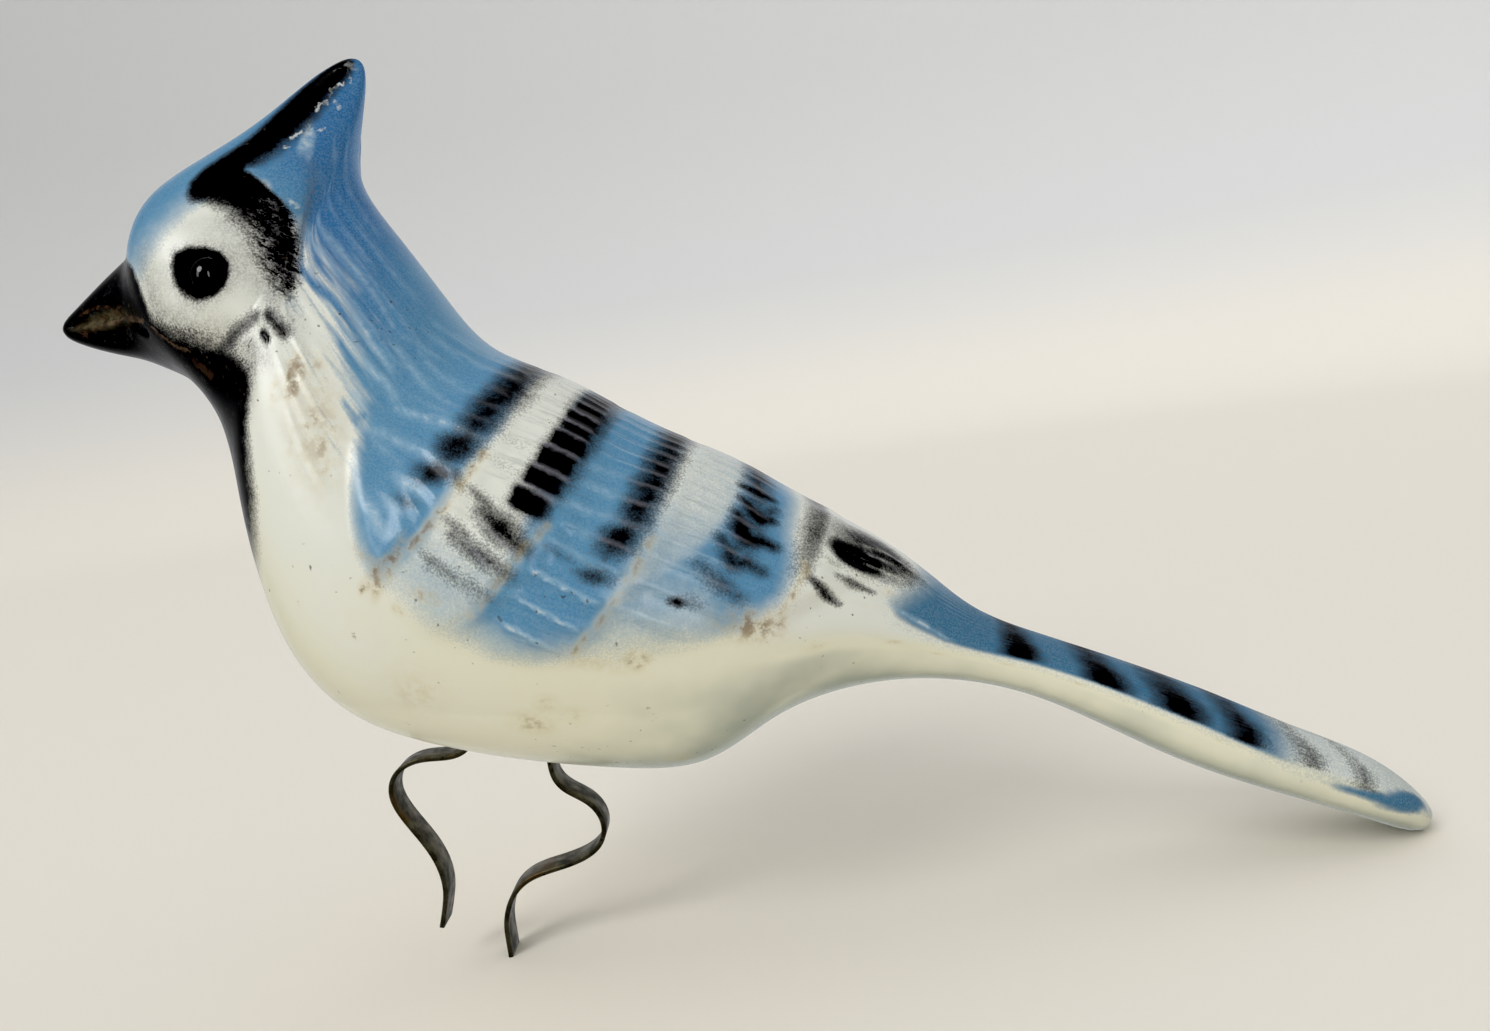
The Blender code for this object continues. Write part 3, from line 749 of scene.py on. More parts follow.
# How far the bands lean towards the tip, low down, and the shares over which they do
TAIL_BAND_LEAN = 0.12
TAIL_BAND_LEAN_SHARES = (0.55, 0.80)
TAIL_BAND_SOFTNESS = 0.26
TAIL_BAND_LOW_SOFTNESS = 0.02
# How much they fade upwards, and how far above their lowest share they do
TAIL_BAND_FADE = 0.4
TAIL_BAND_FADE_SHARES = (0.06, 0.28)

# The tail's blue: the lowest share that it reaches at each rib, and the rib where it starts at
# each share, with how soft both edges are
TAIL_BLUE_LOWER_EDGE = ((22.3, 0.690), (22.67, 0.630), (23.14, 0.600), (23.58, 0.572),
                        (24.0, 0.562), (26.0, 0.556), (26.4, 0.540), (27.0, 0.515),
                        (27.5, 0.500))
TAIL_BLUE_FRONT = ((0.55, 22.50), (0.65, 22.55), (0.75, 22.75), (0.85, 22.85), (1.0, 22.85))
TAIL_BLUE_LOWER_SOFTNESS = 0.03
TAIL_BLUE_FRONT_SOFTNESS = 0.7
# How much of it is missing near the tip, and from where
TAIL_BLUE_MISSING = 0.8
TAIL_BLUE_MISSING_RIBS = (26.25, 26.9)
# The haze of blue below its lower edge
TAIL_HAZE = 0.16
TAIL_HAZE_REACH = 0.07
TAIL_HAZE_RIBS = (22.0, 23.0, 27.5, 28.5)
# Blue on the tip: a patch with its place, size, tilt and softness, and a stroke with its line,
# half width and thickness
TAIL_TIP_BLUE = ((28.55, 0.555), (0.62, 0.075), -0.10, 0.7)
TAIL_TIP_STROKES = ((((27.4, 0.495), (28.7, 0.520)), 0.035, 0.9),)
TAIL_TIP_STROKE_SOFTNESS = 0.04

# The black of the head on the side view, each point with how soft the edge is there: beak,
# cheek and throat in one, then the mask with its stripe up the crest, and the eye's patch
BIB = (
    (-112.0, 104.0, 1.0), (-112.0, 122.0, 1.0), (-92.6, 126.5, 1.0), (-90.2, 123.0, 1.0),
    (-87.0, 120.2, 1.0), (-85.9, 117.6, 1.2), (-85.2, 114.4, 1.4), (-84.6, 111.8, 2.0),
    (-82.4, 110.1, 3.0), (-80.2, 109.0, 3.8), (-78.0, 108.0, 4.2), (-75.6, 107.1, 4.0),
    (-73.4, 106.3, 3.2), (-72.0, 104.5, 2.2), (-71.0, 103.5, 1.5), (-69.6, 101.9, 1.3),
    (-69.4, 99.9, 1.3), (-69.9, 97.7, 1.6), (-70.8, 94.5, 2.0), (-71.2, 90.6, 2.6),
    (-71.9, 84.0, 3.4), (-73.8, 77.0, 4.2), (-76.6, 70.0, 4.5), (-80.0, 64.0, 4.5),
    (-96.0, 64.0, 4.5),
)
BIB_FADE_HEIGHTS = (60.0, 84.0)
MASK = (
    (-77.2, 129.8, 1.8), (-77.0, 132.0, 1.8), (-75.4, 133.9, 1.8), (-72.4, 135.9, 1.8),
    (-70.7, 136.8, 1.8), (-68.6, 138.3, 1.8), (-66.5, 140.2, 1.8), (-64.4, 142.2, 1.8),
    (-62.1, 144.3, 1.8), (-59.7, 146.2, 1.6), (-57.4, 147.8, 1.4), (-55.1, 149.2, 1.2),
    (-53.2, 149.8, 1.0), (-52.2, 148.8, 1.2), (-52.9, 147.0, 1.8), (-55.0, 145.0, 2.2),
    (-56.7, 143.3, 2.6), (-58.3, 141.4, 3.0), (-59.6, 140.0, 3.2), (-60.9, 138.7, 3.4),
    (-62.7, 137.1, 3.8), (-64.6, 135.3, 4.0), (-66.6, 134.0, 3.6), (-68.6, 133.3, 2.2),
    (-69.0, 132.8, 1.0), (-67.6, 131.6, 0.8), (-66.2, 130.2, 0.8), (-65.0, 128.8, 0.8),
    (-63.6, 127.0, 0.9), (-62.6, 125.4, 1.2), (-62.3, 123.6, 1.6), (-61.9, 120.4, 1.8),
    (-61.7, 118.7, 2.0), (-61.8, 116.0, 2.2), (-62.2, 113.9, 2.6), (-63.0, 112.4, 3.0),
    (-64.0, 113.0, 3.0), (-65.0, 115.0, 3.4), (-65.9, 117.2, 3.8), (-66.4, 119.6, 4.0),
    (-67.1, 122.2, 4.2), (-68.6, 124.6, 4.2), (-70.8, 126.6, 4.0), (-73.0, 127.9, 3.2),
    (-75.0, 128.6, 2.4), (-76.6, 128.8, 1.8),
)
EYE_PATCH = (
    (-79.2, 118.9, 1.7), (-78.7, 120.6, 1.7), (-76.9, 121.2, 1.5), (-74.3, 121.0, 1.2),
    (-72.1, 120.0, 0.9), (-71.0, 118.3, 0.9), (-71.1, 116.4, 0.9), (-72.0, 114.8, 1.0),
    (-73.6, 113.7, 1.3), (-76.0, 113.4, 1.6), (-77.9, 114.6, 1.8), (-78.9, 116.5, 1.8),
)
# How thickly black is laid on the mask and on the eye's patch
MASK_THICKNESS = 1.2
EYE_THICKNESS = 1.4
# Where the mask is combed into barbs
BARBS = (
    (-68.0, 127.6, 2.5), (-66.0, 129.0, 1.5), (-61.0, 124.4, 1.5), (-59.8, 118.0, 1.5),
    (-60.6, 112.4, 2.0), (-64.4, 112.6, 2.0), (-66.6, 117.0, 2.5), (-67.6, 122.6, 2.5),
)
# The even grey haze of overspray round the black: how thick at the edge, how far it reaches, how
# far inside the edge it starts and how fast it thins
MASK_HAZE = (0.52, 8.0)
BIB_HAZE = (0.72, 7.5)
EYE_HAZE = (0.55, 3.6)
HAZE_START = 1.0
HAZE_POWER = 1.5
FACE_HAZE_RIBS = (6.6, 7.6, 13.6, 14.4)
FACE_HAZE_SHARES = (0.32, 0.36, 0.61, 0.67)
# Grey spray behind the bib's corner
GREY_CORNER = (
    (-73.2, 105.6, 3.0), (-71.0, 107.2, 3.0), (-68.6, 107.2, 2.0), (-66.8, 105.0, 2.5),
    (-65.9, 102.8, 3.0), (-67.5, 101.6, 3.0), (-69.8, 101.0, 2.0),
)
GREY_CORNER_COVERAGE = 0.5
# Grey washes behind the mask: place, size, tilt, thickness
GREY_WASHES = (
    ((13.0, 0.700), (1.3, 0.030), 0.033, 0.42),
    ((13.6, 0.655), (0.5, 0.03), 0.02, 0.3),
)
GREY_WASH_SOFTNESS = 1.5
# How dark each slit of the tuft is painted, and how far the dark spreads
TUFT_SLIT_PAINT = ((0.80, 1.9), (1.2, 1.0))
# The shade in front of the tuft
TUFT_SHADE = ((-73.6, 106.0), (-71.8, 107.0), (-70.4, 108.4), (-69.0, 109.0), (-68.0, 109.8))
TUFT_SHADE_REACH = 2.0
TUFT_SHADE_THICKNESS = 0.7

# Chips where the crest's edge is worn to the white body, as lines on the side view, each with
# its half width and how thickly it shows
CREST_CHIPS = (
    (((-53.0, 148.5), (-52.1, 147.9)), 0.50, 0.9),
    (((-53.3, 147.6), (-53.0, 146.6), (-52.9, 145.5)), 0.10, 0.9),
    (((-55.5, 147.7), (-54.3, 148.1)), 0.10, 0.7),
    (((-56.3, 143.8), (-56.1, 144.7), (-55.6, 144.9), (-54.6, 145.4)), 0.22, 1.0),
    (((-58.4, 141.5), (-57.9, 142.5), (-56.8, 142.8)), 0.28, 0.9),
    (((-55.7, 142.8), (-55.2, 141.7)), 0.34, 0.9),
    (((-59.7, 139.4), (-59.5, 138.7), (-58.6, 138.0), (-57.3, 138.4)), 0.10, 0.8),
    (((-62.2, 137.3), (-60.9, 138.1)), 0.30, 0.8),
    (((-63.2, 135.8), (-62.6, 135.7)), 0.16, 0.8),
    (((-54.2, 145.3), (-54.0, 145.6)), 0.16, 0.9),
    (((-62.4, 127.1), (-61.4, 126.0)), 0.36, 0.6),
)
# Brown wear on the beak and the worn line at the corner of the mouth
BEAK_WEAR = (
    (((-101.3, 115.6), (-99.1, 116.1), (-96.0, 116.1), (-94.1, 114.9), (-93.0, 114.0)),
     0.28, 0.75),
    (((-103.6, 113.8), (-102.5, 114.2), (-100.8, 113.6)), 0.26, 0.7),
    (((-97.5, 114.2), (-96.4, 114.8), (-94.7, 114.8), (-92.6, 115.8)), 0.22, 0.6),
    (((-102.3, 113.1), (-101.1, 112.2)), 0.22, 0.6),
    (((-101.1, 112.7), (-98.0, 113.2), (-95.6, 113.4)), 0.26, 0.7),
    (((-90.3, 120.0), (-88.2, 119.6)), 0.30, 0.4),
    (((-79.2, 104.9), (-76.9, 102.4)), 0.60, 0.35),
)
MOUTH_WEAR = (
    (((-95.6, 113.4), (-93.0, 113.8), (-91.1, 113.3), (-87.4, 112.3)), 0.34, 0.6),
    (((-85.3, 110.9), (-84.7, 109.7), (-83.0, 108.5), (-81.8, 107.4), (-79.6, 106.5)),
     0.26, 0.62),
)

# Pale streaks in the blue, partly wear down to the white and partly painted highlights on the
# raised strokes and feathers: the line, its half width and its strength
PALE_STREAKS = (
    (((10.64, 0.847), (10.88, 0.800), (11.29, 0.769)), 0.030, 0.6),
    (((11.95, 0.841), (12.3, 0.835), (13.0, 0.875)), 0.012, 0.4),
    (((12.3, 0.672), (13.0, 0.722), (13.6, 0.766), (14.3, 0.788), (15.0, 0.784)), 0.010, 0.6),
    (((13.4, 0.800), (14.4, 0.826), (15.3, 0.822), (15.8, 0.809)), 0.008, 0.7),
    (((14.2, 0.742), (14.9, 0.730), (15.1, 0.708), (15.55, 0.709), (15.92, 0.719)), 0.011, 0.8),
    (((15.7, 0.714), (16.1, 0.722), (16.43, 0.716)), 0.008, 0.75),
    (((14.9, 0.762), (15.3, 0.757), (15.65, 0.752), (16.1, 0.748)), 0.009, 0.8),
    (((15.55, 0.668), (15.87, 0.666), (16.12, 0.658)), 0.010, 0.8),
    (((15.7, 0.784), (16.03, 0.784), (16.4, 0.777), (16.87, 0.769)), 0.006, 0.75),
    (((16.18, 0.859), (16.48, 0.869), (16.80, 0.866)), 0.006, 0.5),
    (((16.55, 0.920), (16.97, 0.938), (17.4, 0.925)), 0.005, 0.5),
    (((16.3, 0.815), (16.77, 0.806), (17.30, 0.803)), 0.006, 0.55),
    (((16.7, 0.880), (17.05, 0.872), (17.35, 0.866)), 0.005, 0.5),
    (((15.9, 0.612), (16.08, 0.631), (16.31, 0.653), (16.77, 0.669), (17.10, 0.672),
      (17.43, 0.663), (17.62, 0.650)), 0.006, 0.7),
    (((16.39, 0.703), (16.69, 0.719), (17.02, 0.731), (17.33, 0.731), (17.60, 0.719)),
     0.006, 0.85),
    (((16.0, 0.655), (16.4, 0.640), (16.8, 0.640)), 0.005, 0.5),
    (((16.15, 0.590), (16.25, 0.566), (16.45, 0.560), (16.75, 0.555), (17.0, 0.545)),
     0.008, 0.9),
    (((16.85, 0.617), (17.2, 0.614)), 0.012, 0.6), (((16.84, 0.582), (17.08, 0.574)), 0.010, 0.6),
    (((16.80, 0.541), (17.08, 0.541)), 0.007, 0.8),
    (((14.3, 0.862), (15.3, 0.852)), 0.007, 0.35), (((14.2, 0.905), (15.3, 0.900)), 0.008, 0.3),
    (((12.3, 0.850), (13.6, 0.880)), 0.009, 0.25), (((12.0, 0.760), (13.2, 0.830)), 0.007, 0.35),
    (((18.64, 0.744), (19.05, 0.756)), 0.005, 0.5), (((18.70, 0.716), (19.15, 0.716)), 0.006, 0.6),
    (((18.55, 0.672), (18.9, 0.678), (19.36, 0.680), (19.8, 0.668)), 0.004, 0.6),
    (((18.62, 0.616), (18.97, 0.602), (19.3, 0.586)), 0.003, 0.6),
    (((18.8, 0.642), (19.1, 0.640)), 0.007, 0.5), (((18.35, 0.508), (19.0, 0.488)), 0.003, 0.3),
    (((18.2, 0.462), (18.8, 0.452)), 0.002, 0.2), (((18.5, 0.552), (19.0, 0.545)), 0.003, 0.25),
    (((22.45, 0.663), (23.07, 0.627), (23.6, 0.584)), 0.008, 0.8),
)
PALE_STREAK_SOFTNESS = 0.022
# Streaks of whole blue among them: the line and its half width, and how soft the blue is and
# how soft the gap that it leaves in the wear
BLUE_STREAKS = (
    (((13.6, 0.709), (14.4, 0.728), (14.9, 0.745), (15.4, 0.735), (15.7, 0.731)), 0.009),
    (((15.3, 0.700), (15.7, 0.694), (16.1, 0.691), (16.35, 0.694)), 0.012),
    (((15.05, 0.795), (15.9, 0.792)), 0.010), (((14.2, 0.766), (14.9, 0.770)), 0.006),
    (((15.75, 0.640), (16.0, 0.640), (16.2, 0.672)), 0.008),
)
BLUE_STREAK_SOFTNESS = 0.022
BLUE_STREAK_GAP_SOFTNESS = 0.016

# The pale raised edges of the rows of feathers, partly wear and partly painted highlight, from the
# side's middle down to the belly, as rib and share, then half width in shares and strength
ROW_EDGE_LINES = (
    (((17.60, 0.665), (17.46, 0.600), (17.40, 0.560), (17.28, 0.520), (17.10, 0.460)), 0.006, 0.7),
    (((18.48, 0.640), (18.42, 0.560), (18.26, 0.500), (18.10, 0.445)), 0.005, 0.5),
    (((19.46, 0.680), (19.43, 0.600), (19.36, 0.550), (19.25, 0.500), (19.12, 0.440)), 0.006, 0.5),
)
ROW_EDGE_SOFTNESS = 0.012

# Brown stains: place, size, how strong
STAINS = (
    ((14.85, 0.582), (0.20, 0.042), 1.00), ((15.15, 0.634), (0.13, 0.026), 0.55),
    ((15.44, 0.562), (0.18, 0.034), 0.72), ((15.72, 0.556), (0.14, 0.030), 0.62),
    ((15.88, 0.535), (0.12, 0.022), 0.55), ((15.36, 0.640), (0.10, 0.020), 0.45),
    ((15.25, 0.505), (0.11, 0.022), 0.42), ((14.60, 0.530), (0.16, 0.028), 0.50),
    ((15.76, 0.603), (0.12, 0.026), 0.45), ((15.55, 0.565), (0.62, 0.085), 0.50),
    ((17.22, 0.510), (0.06, 0.035), 0.80), ((17.10, 0.465), (0.09, 0.030), 0.68),
    ((16.90, 0.490), (0.25, 0.010), 0.55), ((17.70, 0.480), (0.18, 0.010), 0.68),
    ((17.42, 0.442), (0.08, 0.008), 0.72), ((19.77, 0.466), (0.12, 0.018), 0.8),
    ((19.45, 0.446), (0.35, 0.012), 0.48), ((20.75, 0.572), (0.40, 0.032), 0.80),
    ((21.05, 0.588), (0.12, 0.018), 0.70), ((22.32, 0.705), (0.12, 0.016), 0.55),
    ((21.70, 0.525), (0.18, 0.014), 0.42), ((19.05, 0.300), (0.22, 0.026), 0.62),
    ((19.11, 0.353), (0.12, 0.018), 0.50), ((19.40, 0.334), (0.14, 0.020), 0.50),
    ((17.82, 0.300), (0.36, 0.050), 0.42), ((20.62, 0.228), (0.16, 0.024), 0.50),
    ((3.2, 0.450), (1.3, 0.060), 0.30), ((22.9, 0.530), (0.14, 0.010), 0.50),
    ((23.6, 0.500), (0.22, 0.008), 0.45), ((24.4, 0.515), (0.07, 0.010), 0.60),
    ((25.05, 0.520), (0.06, 0.009), 0.60), ((26.1, 0.512), (0.07, 0.008), 0.55),
)
STAIN_SOFTNESS = 1.4

# Dirt and painted shade along the edges of the rows of feathers and of the wing's tips: the line,
# its half width and its strength
EDGE_DIRT_AND_SHADE = (
    (((17.70, 0.700), (17.61, 0.653), (17.52, 0.603), (17.42, 0.559), (17.31, 0.534),
      (17.03, 0.488), (16.92, 0.440)), 0.006, 0.9),
    (((18.55, 0.630), (18.46, 0.600), (18.34, 0.540), (18.16, 0.470)), 0.006, 0.7),
    (((19.48, 0.670), (19.44, 0.600), (19.36, 0.540), (19.16, 0.450)), 0.006, 0.7),
    (((21.02, 0.720), (21.06, 0.690), (20.98, 0.622), (20.90, 0.590)), 0.006, 0.8),
)
EDGE_DIRT_AND_SHADE_SOFTNESS = 0.014

# How pale the strokes of the shoulder and the neck show on their crests, partly wear and partly
# painted highlight, and the ribs over which it starts on the neck
STROKE_WEAR_AND_HIGHLIGHT = 0.5
NECK_WEAR_AND_HIGHLIGHT_RIBS = (11.0, 13.5)
# Where the blue is streaky
STREAKY_RIBS = (12.2, 13.2, 16.0, 16.8)
STREAKY_SHARES = (0.52, 0.62, 0.84, 0.92)
# The warmer tone of the belly and of the flank, and the painted shade under the rump and the
# tail: how strong, and where
CREAM_SHARES = (0.12, 0.50)
FLANK_CREAM = 0.6
FLANK_CREAM_RIBS = (15.5, 18, 21, 23)
FLANK_CREAM_SHARES = (0.4, 0.6)
TAIL_UNDERSIDE_SHADE = 1.3
TAIL_UNDERSIDE_SHADE_RIBS = (17.5, 22.5)
TAIL_UNDERSIDE_SHADE_SHARES = (0.48, 0.60)
# Where the blue is deep, on the neck and on the tail, and where it is dull
DEEP_NECK = 0.8
DEEP_NECK_RIBS = (8.5, 11.5, 14.0, 16.6)
DEEP_NECK_SHARES = (0.60, 0.80)
DEEP_TAIL = 0.35
DEEP_TAIL_RIBS = (22, 24)
DULL_RIBS = (21.0, 22.6)
# How far from its edge the bead's shine fades, and how far from its own the matt ring does
BEAD_EDGE = (-0.3, 0.4)
MATT_EDGE = (-1.0, 0.0)

# How fast the glaze's streaks change along a rib, over a share and from side to side
FLOW_RATES = (13, 100, 500)


def by_share(rows, share):
    """Each further column of a table at these shares, along straight runs between its rows."""
    columns = list(zip(*rows))
    return [np.interp(share, columns[0], column) for column in columns[1:]]


def soft_band(rib, share, rows, softness):
    """Coverage of a band across the skin, from a table of its middle, half length, thickness."""
    middle, half_length, thickness = by_share(rows, share)
    height, rib_rate, share_rate, start = BAND_SWAY
    sway = height * ripple(share * share_rate, rib * rib_rate, start)
    return thickness * coverage(half_length - np.abs(rib - middle + sway), softness)


def blue_coverage(rib, share):
    """Where blue glaze was sprayed: the head, back and wings, and the tail from its root."""
    lower, softness = by_share(BLUE_LOWER_EDGE, rib)
    height, rib_rate, share_rate, start = BLUE_SWAY
    sway = height * ripple(rib * rib_rate, share * share_rate, start)
    body = coverage(share - lower + sway, softness)
    body = body * coverage(through(BLUE_WING_END, share) - rib, BLUE_WING_END_SOFTNESS)
    thin = hump(rib, *THIN_BLUE_RIBS) * (1 - rise(share, *THIN_BLUE_SHARES))
    body = body * (1 - (1 - THIN_BLUE_KEPT) * thin)
    above_edge = share - through(TAIL_BLUE_LOWER_EDGE, rib)
    tail = coverage(above_edge, TAIL_BLUE_LOWER_SOFTNESS)
    tail = tail * coverage(rib - through(TAIL_BLUE_FRONT, share), TAIL_BLUE_FRONT_SOFTNESS)
    tail = tail * (1 - TAIL_BLUE_MISSING * rise(rib, *TAIL_BLUE_MISSING_RIBS))
    haze = TAIL_HAZE * rise(above_edge, -TAIL_HAZE_REACH, 0) * hump(rib, *TAIL_HAZE_RIBS)
    tip = blob(rib, share, *TAIL_TIP_BLUE)
    tip_stroke = brushed_marks(rib, share, TAIL_TIP_STROKES, TAIL_TIP_STROKE_SOFTNESS)
    return thickest((body, tail, haze, tip, tip_stroke))


def white_bands(rib, share):
    """Where no blue reached between the rows of wing feathers."""
    bands = []
    for rows, kept_below in zip(WHITE_BANDS, WHITE_KEPT_BELOW):
        front, back = by_share(rows, share)
        lowest = rows[0][0]
        band = coverage(rib - front, WHITE_FRONT_SOFTNESS)
        band = band * coverage(back - rib, WHITE_BACK_SOFTNESS)
        band = band * rise(share, lowest - WHITE_LOW_FADE, lowest + WHITE_LOW_FADE)
        bands.append(band * through(WHITE_KEPT, rib) * through(kept_below, share))
    return thickest(bands)


def wing_black(rib, share):
    """The wing's black: four sprayed bands, what pooled on them, grey beside them, some painted
    shade.
    """
    marks = [soft_band(rib, share, FIRST_BLACK, FIRST_BAND_SOFTNESS)]
    for rows in (SECOND_BLACK_SPRAY, THIRD_BLACK, FOURTH_BLACK_SPRAY):
        marks.append(soft_band(rib, share, rows, LATER_BAND_SOFTNESS))
    for (low, high), (front, back), thickness in SECOND_BLACK_BARS:
        level = share + BAR_TILT * (rib - (front + back) / 2)
        sides = coverage(level - low, BAR_SIDE_SOFTNESS)
        sides = sides * coverage(high - level, BAR_SIDE_SOFTNESS)
        ends = coverage(rib - front, BAR_FRONT_SOFTNESS)
        ends = ends * coverage(back - rib, BAR_BACK_SOFTNESS)
        marks.append(thickness * sides * ends)
    for line, half_width, softness, thickness in BLACK_STROKES:
        marks.append(thickness * brushed(rib, share, line, half_width, softness))
    (front, front_softness), (back, back_softness) = GREY_BEHIND_WING_ENDS
    behind = through(GREY_BEHIND_WING, share) * coverage(rib - front, front_softness)
    marks.append(behind * coverage(back - rib, back_softness))
    marks.append(brushed_marks(rib, share, GREY_STRIPES, STROKE_SOFTNESS))
    return thickest(marks)


def rump_and_tail_black(rib, share):
    """The scratched oval on the rump, the strokes below it, and the bands round the tail."""
    ovals = thickest(thickness * blob(rib, share, *oval) for *oval, thickness in RUMP_OVALS)
    scratched = scraped(ovals, rib, share, RUMP_SCRATCHES, RUMP_SCRATCH_DEPTH,
                        RUMP_SCRATCH_SOFTNESS)
    marks = [scratched, brushed_marks(rib, share, RUMP_DARK_STROKES, STROKE_SOFTNESS)]
    leaned = rib - TAIL_BAND_LEAN * (1 - rise(share, *TAIL_BAND_LEAN_SHARES))
    fade_start, fade_end = TAIL_BAND_FADE_SHARES
    for at, half_length, thickness, bottom in TAIL_BANDS:
        band = coverage(half_length - np.abs(leaned - at), TAIL_BAND_SOFTNESS)
        band = band * coverage(share - bottom, TAIL_BAND_LOW_SOFTNESS)
        faded = TAIL_BAND_FADE * rise(share, bottom + fade_start, bottom + fade_end)
        marks.append(thickness * band * (1 - faded))
    return thickest(marks)


def head_black(x, z):
    """The head's black, with the slits and the shade of the tuft."""
    marks = [painted_patch(x, z, BIB) * rise(z, *BIB_FADE_HEIGHTS),
             MASK_THICKNESS * painted_patch(x, z, MASK),
             EYE_THICKNESS * painted_patch(x, z, EYE_PATCH)]
    shade = (TUFT_SHADE, (TUFT_SHADE_THICKNESS, TUFT_SHADE_REACH))
    for line, (thickness, reach) in (*zip(TUFT_SLITS, TUFT_SLIT_PAINT), shade):
        marks.append(thickness * (1 - rise(line_distance(x, z, line), 0, reach)))
    return thickest(marks)


def face_haze(rib, share, x, z):
    """The grey haze of overspray on the white of the face, and behind the bib's corner."""
    haze = 0.0
    for outline, (thickness, reach) in ((MASK, MASK_HAZE), (BIB, BIB_HAZE), (EYE_PATCH, EYE_HAZE)):
        away = -inside_depth(x, z, side_points(outline))
        haze = haze + thickness * (1 - rise(away, -HAZE_START, reach)) ** HAZE_POWER
    haze = haze * hump(rib, *FACE_HAZE_RIBS) * hump(share, *FACE_HAZE_SHARES)
    corner = GREY_CORNER_COVERAGE * painted_patch(x, z, GREY_CORNER)
    washes = thickest(thickness * blob(rib, share, *wash, GREY_WASH_SOFTNESS)
                      for *wash, thickness in GREY_WASHES)
    return thickest((haze, corner, washes))


def pale_coverage(rib, share):
    """Wear that lets the white body show through the blue, with painted highlights on its relief.
    """
    streaks = brushed_marks(rib, share, PALE_STREAKS, PALE_STREAK_SOFTNESS)
    edges = even_marks(rib, share, ROW_EDGE_LINES, ROW_EDGE_SOFTNESS)
    return scraped(thickest((streaks, edges)), rib, share, BLUE_STREAKS, 1,
                   BLUE_STREAK_GAP_SOFTNESS)


def blue_streaks(rib, share):
    return thickest(brushed(rib, share, line, half_width, BLUE_STREAK_SOFTNESS)
                    for line, half_width in BLUE_STREAKS)


# Brown stains, and the dirt and painted shade along the edges of the rows of feathers
def stain_and_edge_shade_coverage(rib, share):
    stains = thickest(strength * blob(rib, share, place, size, 0, STAIN_SOFTNESS)
                      for place, size, strength in STAINS)
    return thickest((stains, even_marks(rib, share, EDGE_DIRT_AND_SHADE, EDGE_DIRT_AND_SHADE_SOFTNESS)))


def warmth_and_underside_shade(rib, share):
    """How warm the body is on the belly and flank, and its painted shade under the rump and tail.
    """
    belly = 1 - rise(share, *CREAM_SHARES)
    flank = FLANK_CREAM * hump(rib, *FLANK_CREAM_RIBS) * (1 - rise(share, *FLANK_CREAM_SHARES))
    tail = TAIL_UNDERSIDE_SHADE * rise(rib, *TAIL_UNDERSIDE_SHADE_RIBS) * (1 - rise(share, *TAIL_UNDERSIDE_SHADE_SHARES))
    return np.maximum(belly, flank) + tail


def eye_shine(x, z):
    """1 on the eye's wet bead, -1 on the matt ring round it and 0 elsewhere."""
    from_eye = np.hypot(x - EYE_X, z - EYE_Z)
    bead_start, bead_end = BEAD_EDGE
    matt_start, matt_end = MATT_EDGE
    bead = 1 - rise(from_eye, EYE_BEAD_RADIUS + bead_start, EYE_BEAD_RADIUS + bead_end)
    ring = 1 - rise(from_eye, EYE_RING_RADIUS + matt_start, EYE_RING_RADIUS + matt_end)
    return bead - ring * (1 - bead)


def paint_fields(rib, share, grid):
    """All of the paint at each point of the skin, by the names that the glaze reads."""
    x, z = grid[..., 0], grid[..., 2]
    blue = blue_coverage(rib, share) * (1 - white_bands(rib, share))
    feathers, feathered = feather_count(rib, share)
    neck_wear_and_highlight = neck_strokes(rib, share) * rise(rib, *NECK_WEAR_AND_HIGHLIGHT_RIBS)
    neck_depth = DEEP_NECK * hump(rib, *DEEP_NECK_RIBS) * rise(share, *DEEP_NECK_SHARES)
    fields = {
        "blue": np.maximum(blue, blue_streaks(rib, share)),
        "black": thickest((wing_black(rib, share), rump_and_tail_black(rib, share),
                           head_black(x, z))),
        "haze": face_haze(rib, share, x, z),
        "pale": pale_coverage(rib, share),
        "crest": STROKE_WEAR_AND_HIGHLIGHT * np.maximum(shoulder_arches(rib, share), neck_wear_and_highlight),
        "feathers": feathers,
        "feathered": feathered * through(CREST_WEAR, rib),
        "barbs": painted_patch(x, z, BARBS),
        "dull": rise(rib, *DULL_RIBS),
        "eye": eye_shine(x, z),
        "streaky": hump(rib, *STREAKY_RIBS) * hump(share, *STREAKY_SHARES),
        "cream_and_shade": warmth_and_underside_shade(rib, share),
        "stain_and_edge_shade": stain_and_edge_shade_coverage(rib, share),
        "deep": np.maximum(neck_depth, DEEP_TAIL * rise(rib, *DEEP_TAIL_RIBS)),
    }
    return {name: np.broadcast_to(values, x.shape) for name, values in fields.items()}


def fine_grid():
    """The skin's points in millimetres, with and without its relief, and their ribs and shares."""
    places = rib_places(RINGS + 2)[1:-1]
    ribs = b_spline(RIBS, places)
    shares = side_shares(POINTS_UP_A_SIDE)
    right = np.array([half_section(rib, shares) for rib in ribs])
    left = right[:, -2:0:-1] * (1, -1, 1)
    flat_grid = np.concatenate([right, left], axis=1)
    share = np.concatenate([shares, shares[-2:0:-1]])[None, :]
    rib = (places * (len(RIBS) - 1))[:, None]
    x, z = flat_grid[..., 0], flat_grid[..., 2]
    relief = wing_relief(rib, share) + face_relief(x, z) + fine_relief(rib, share, x, z)
    grid = flat_grid + outward(flat_grid) * relief[..., None]
    grid[..., 2] = np.maximum(grid[..., 2], 0)
    return grid, flat_grid, rib, share


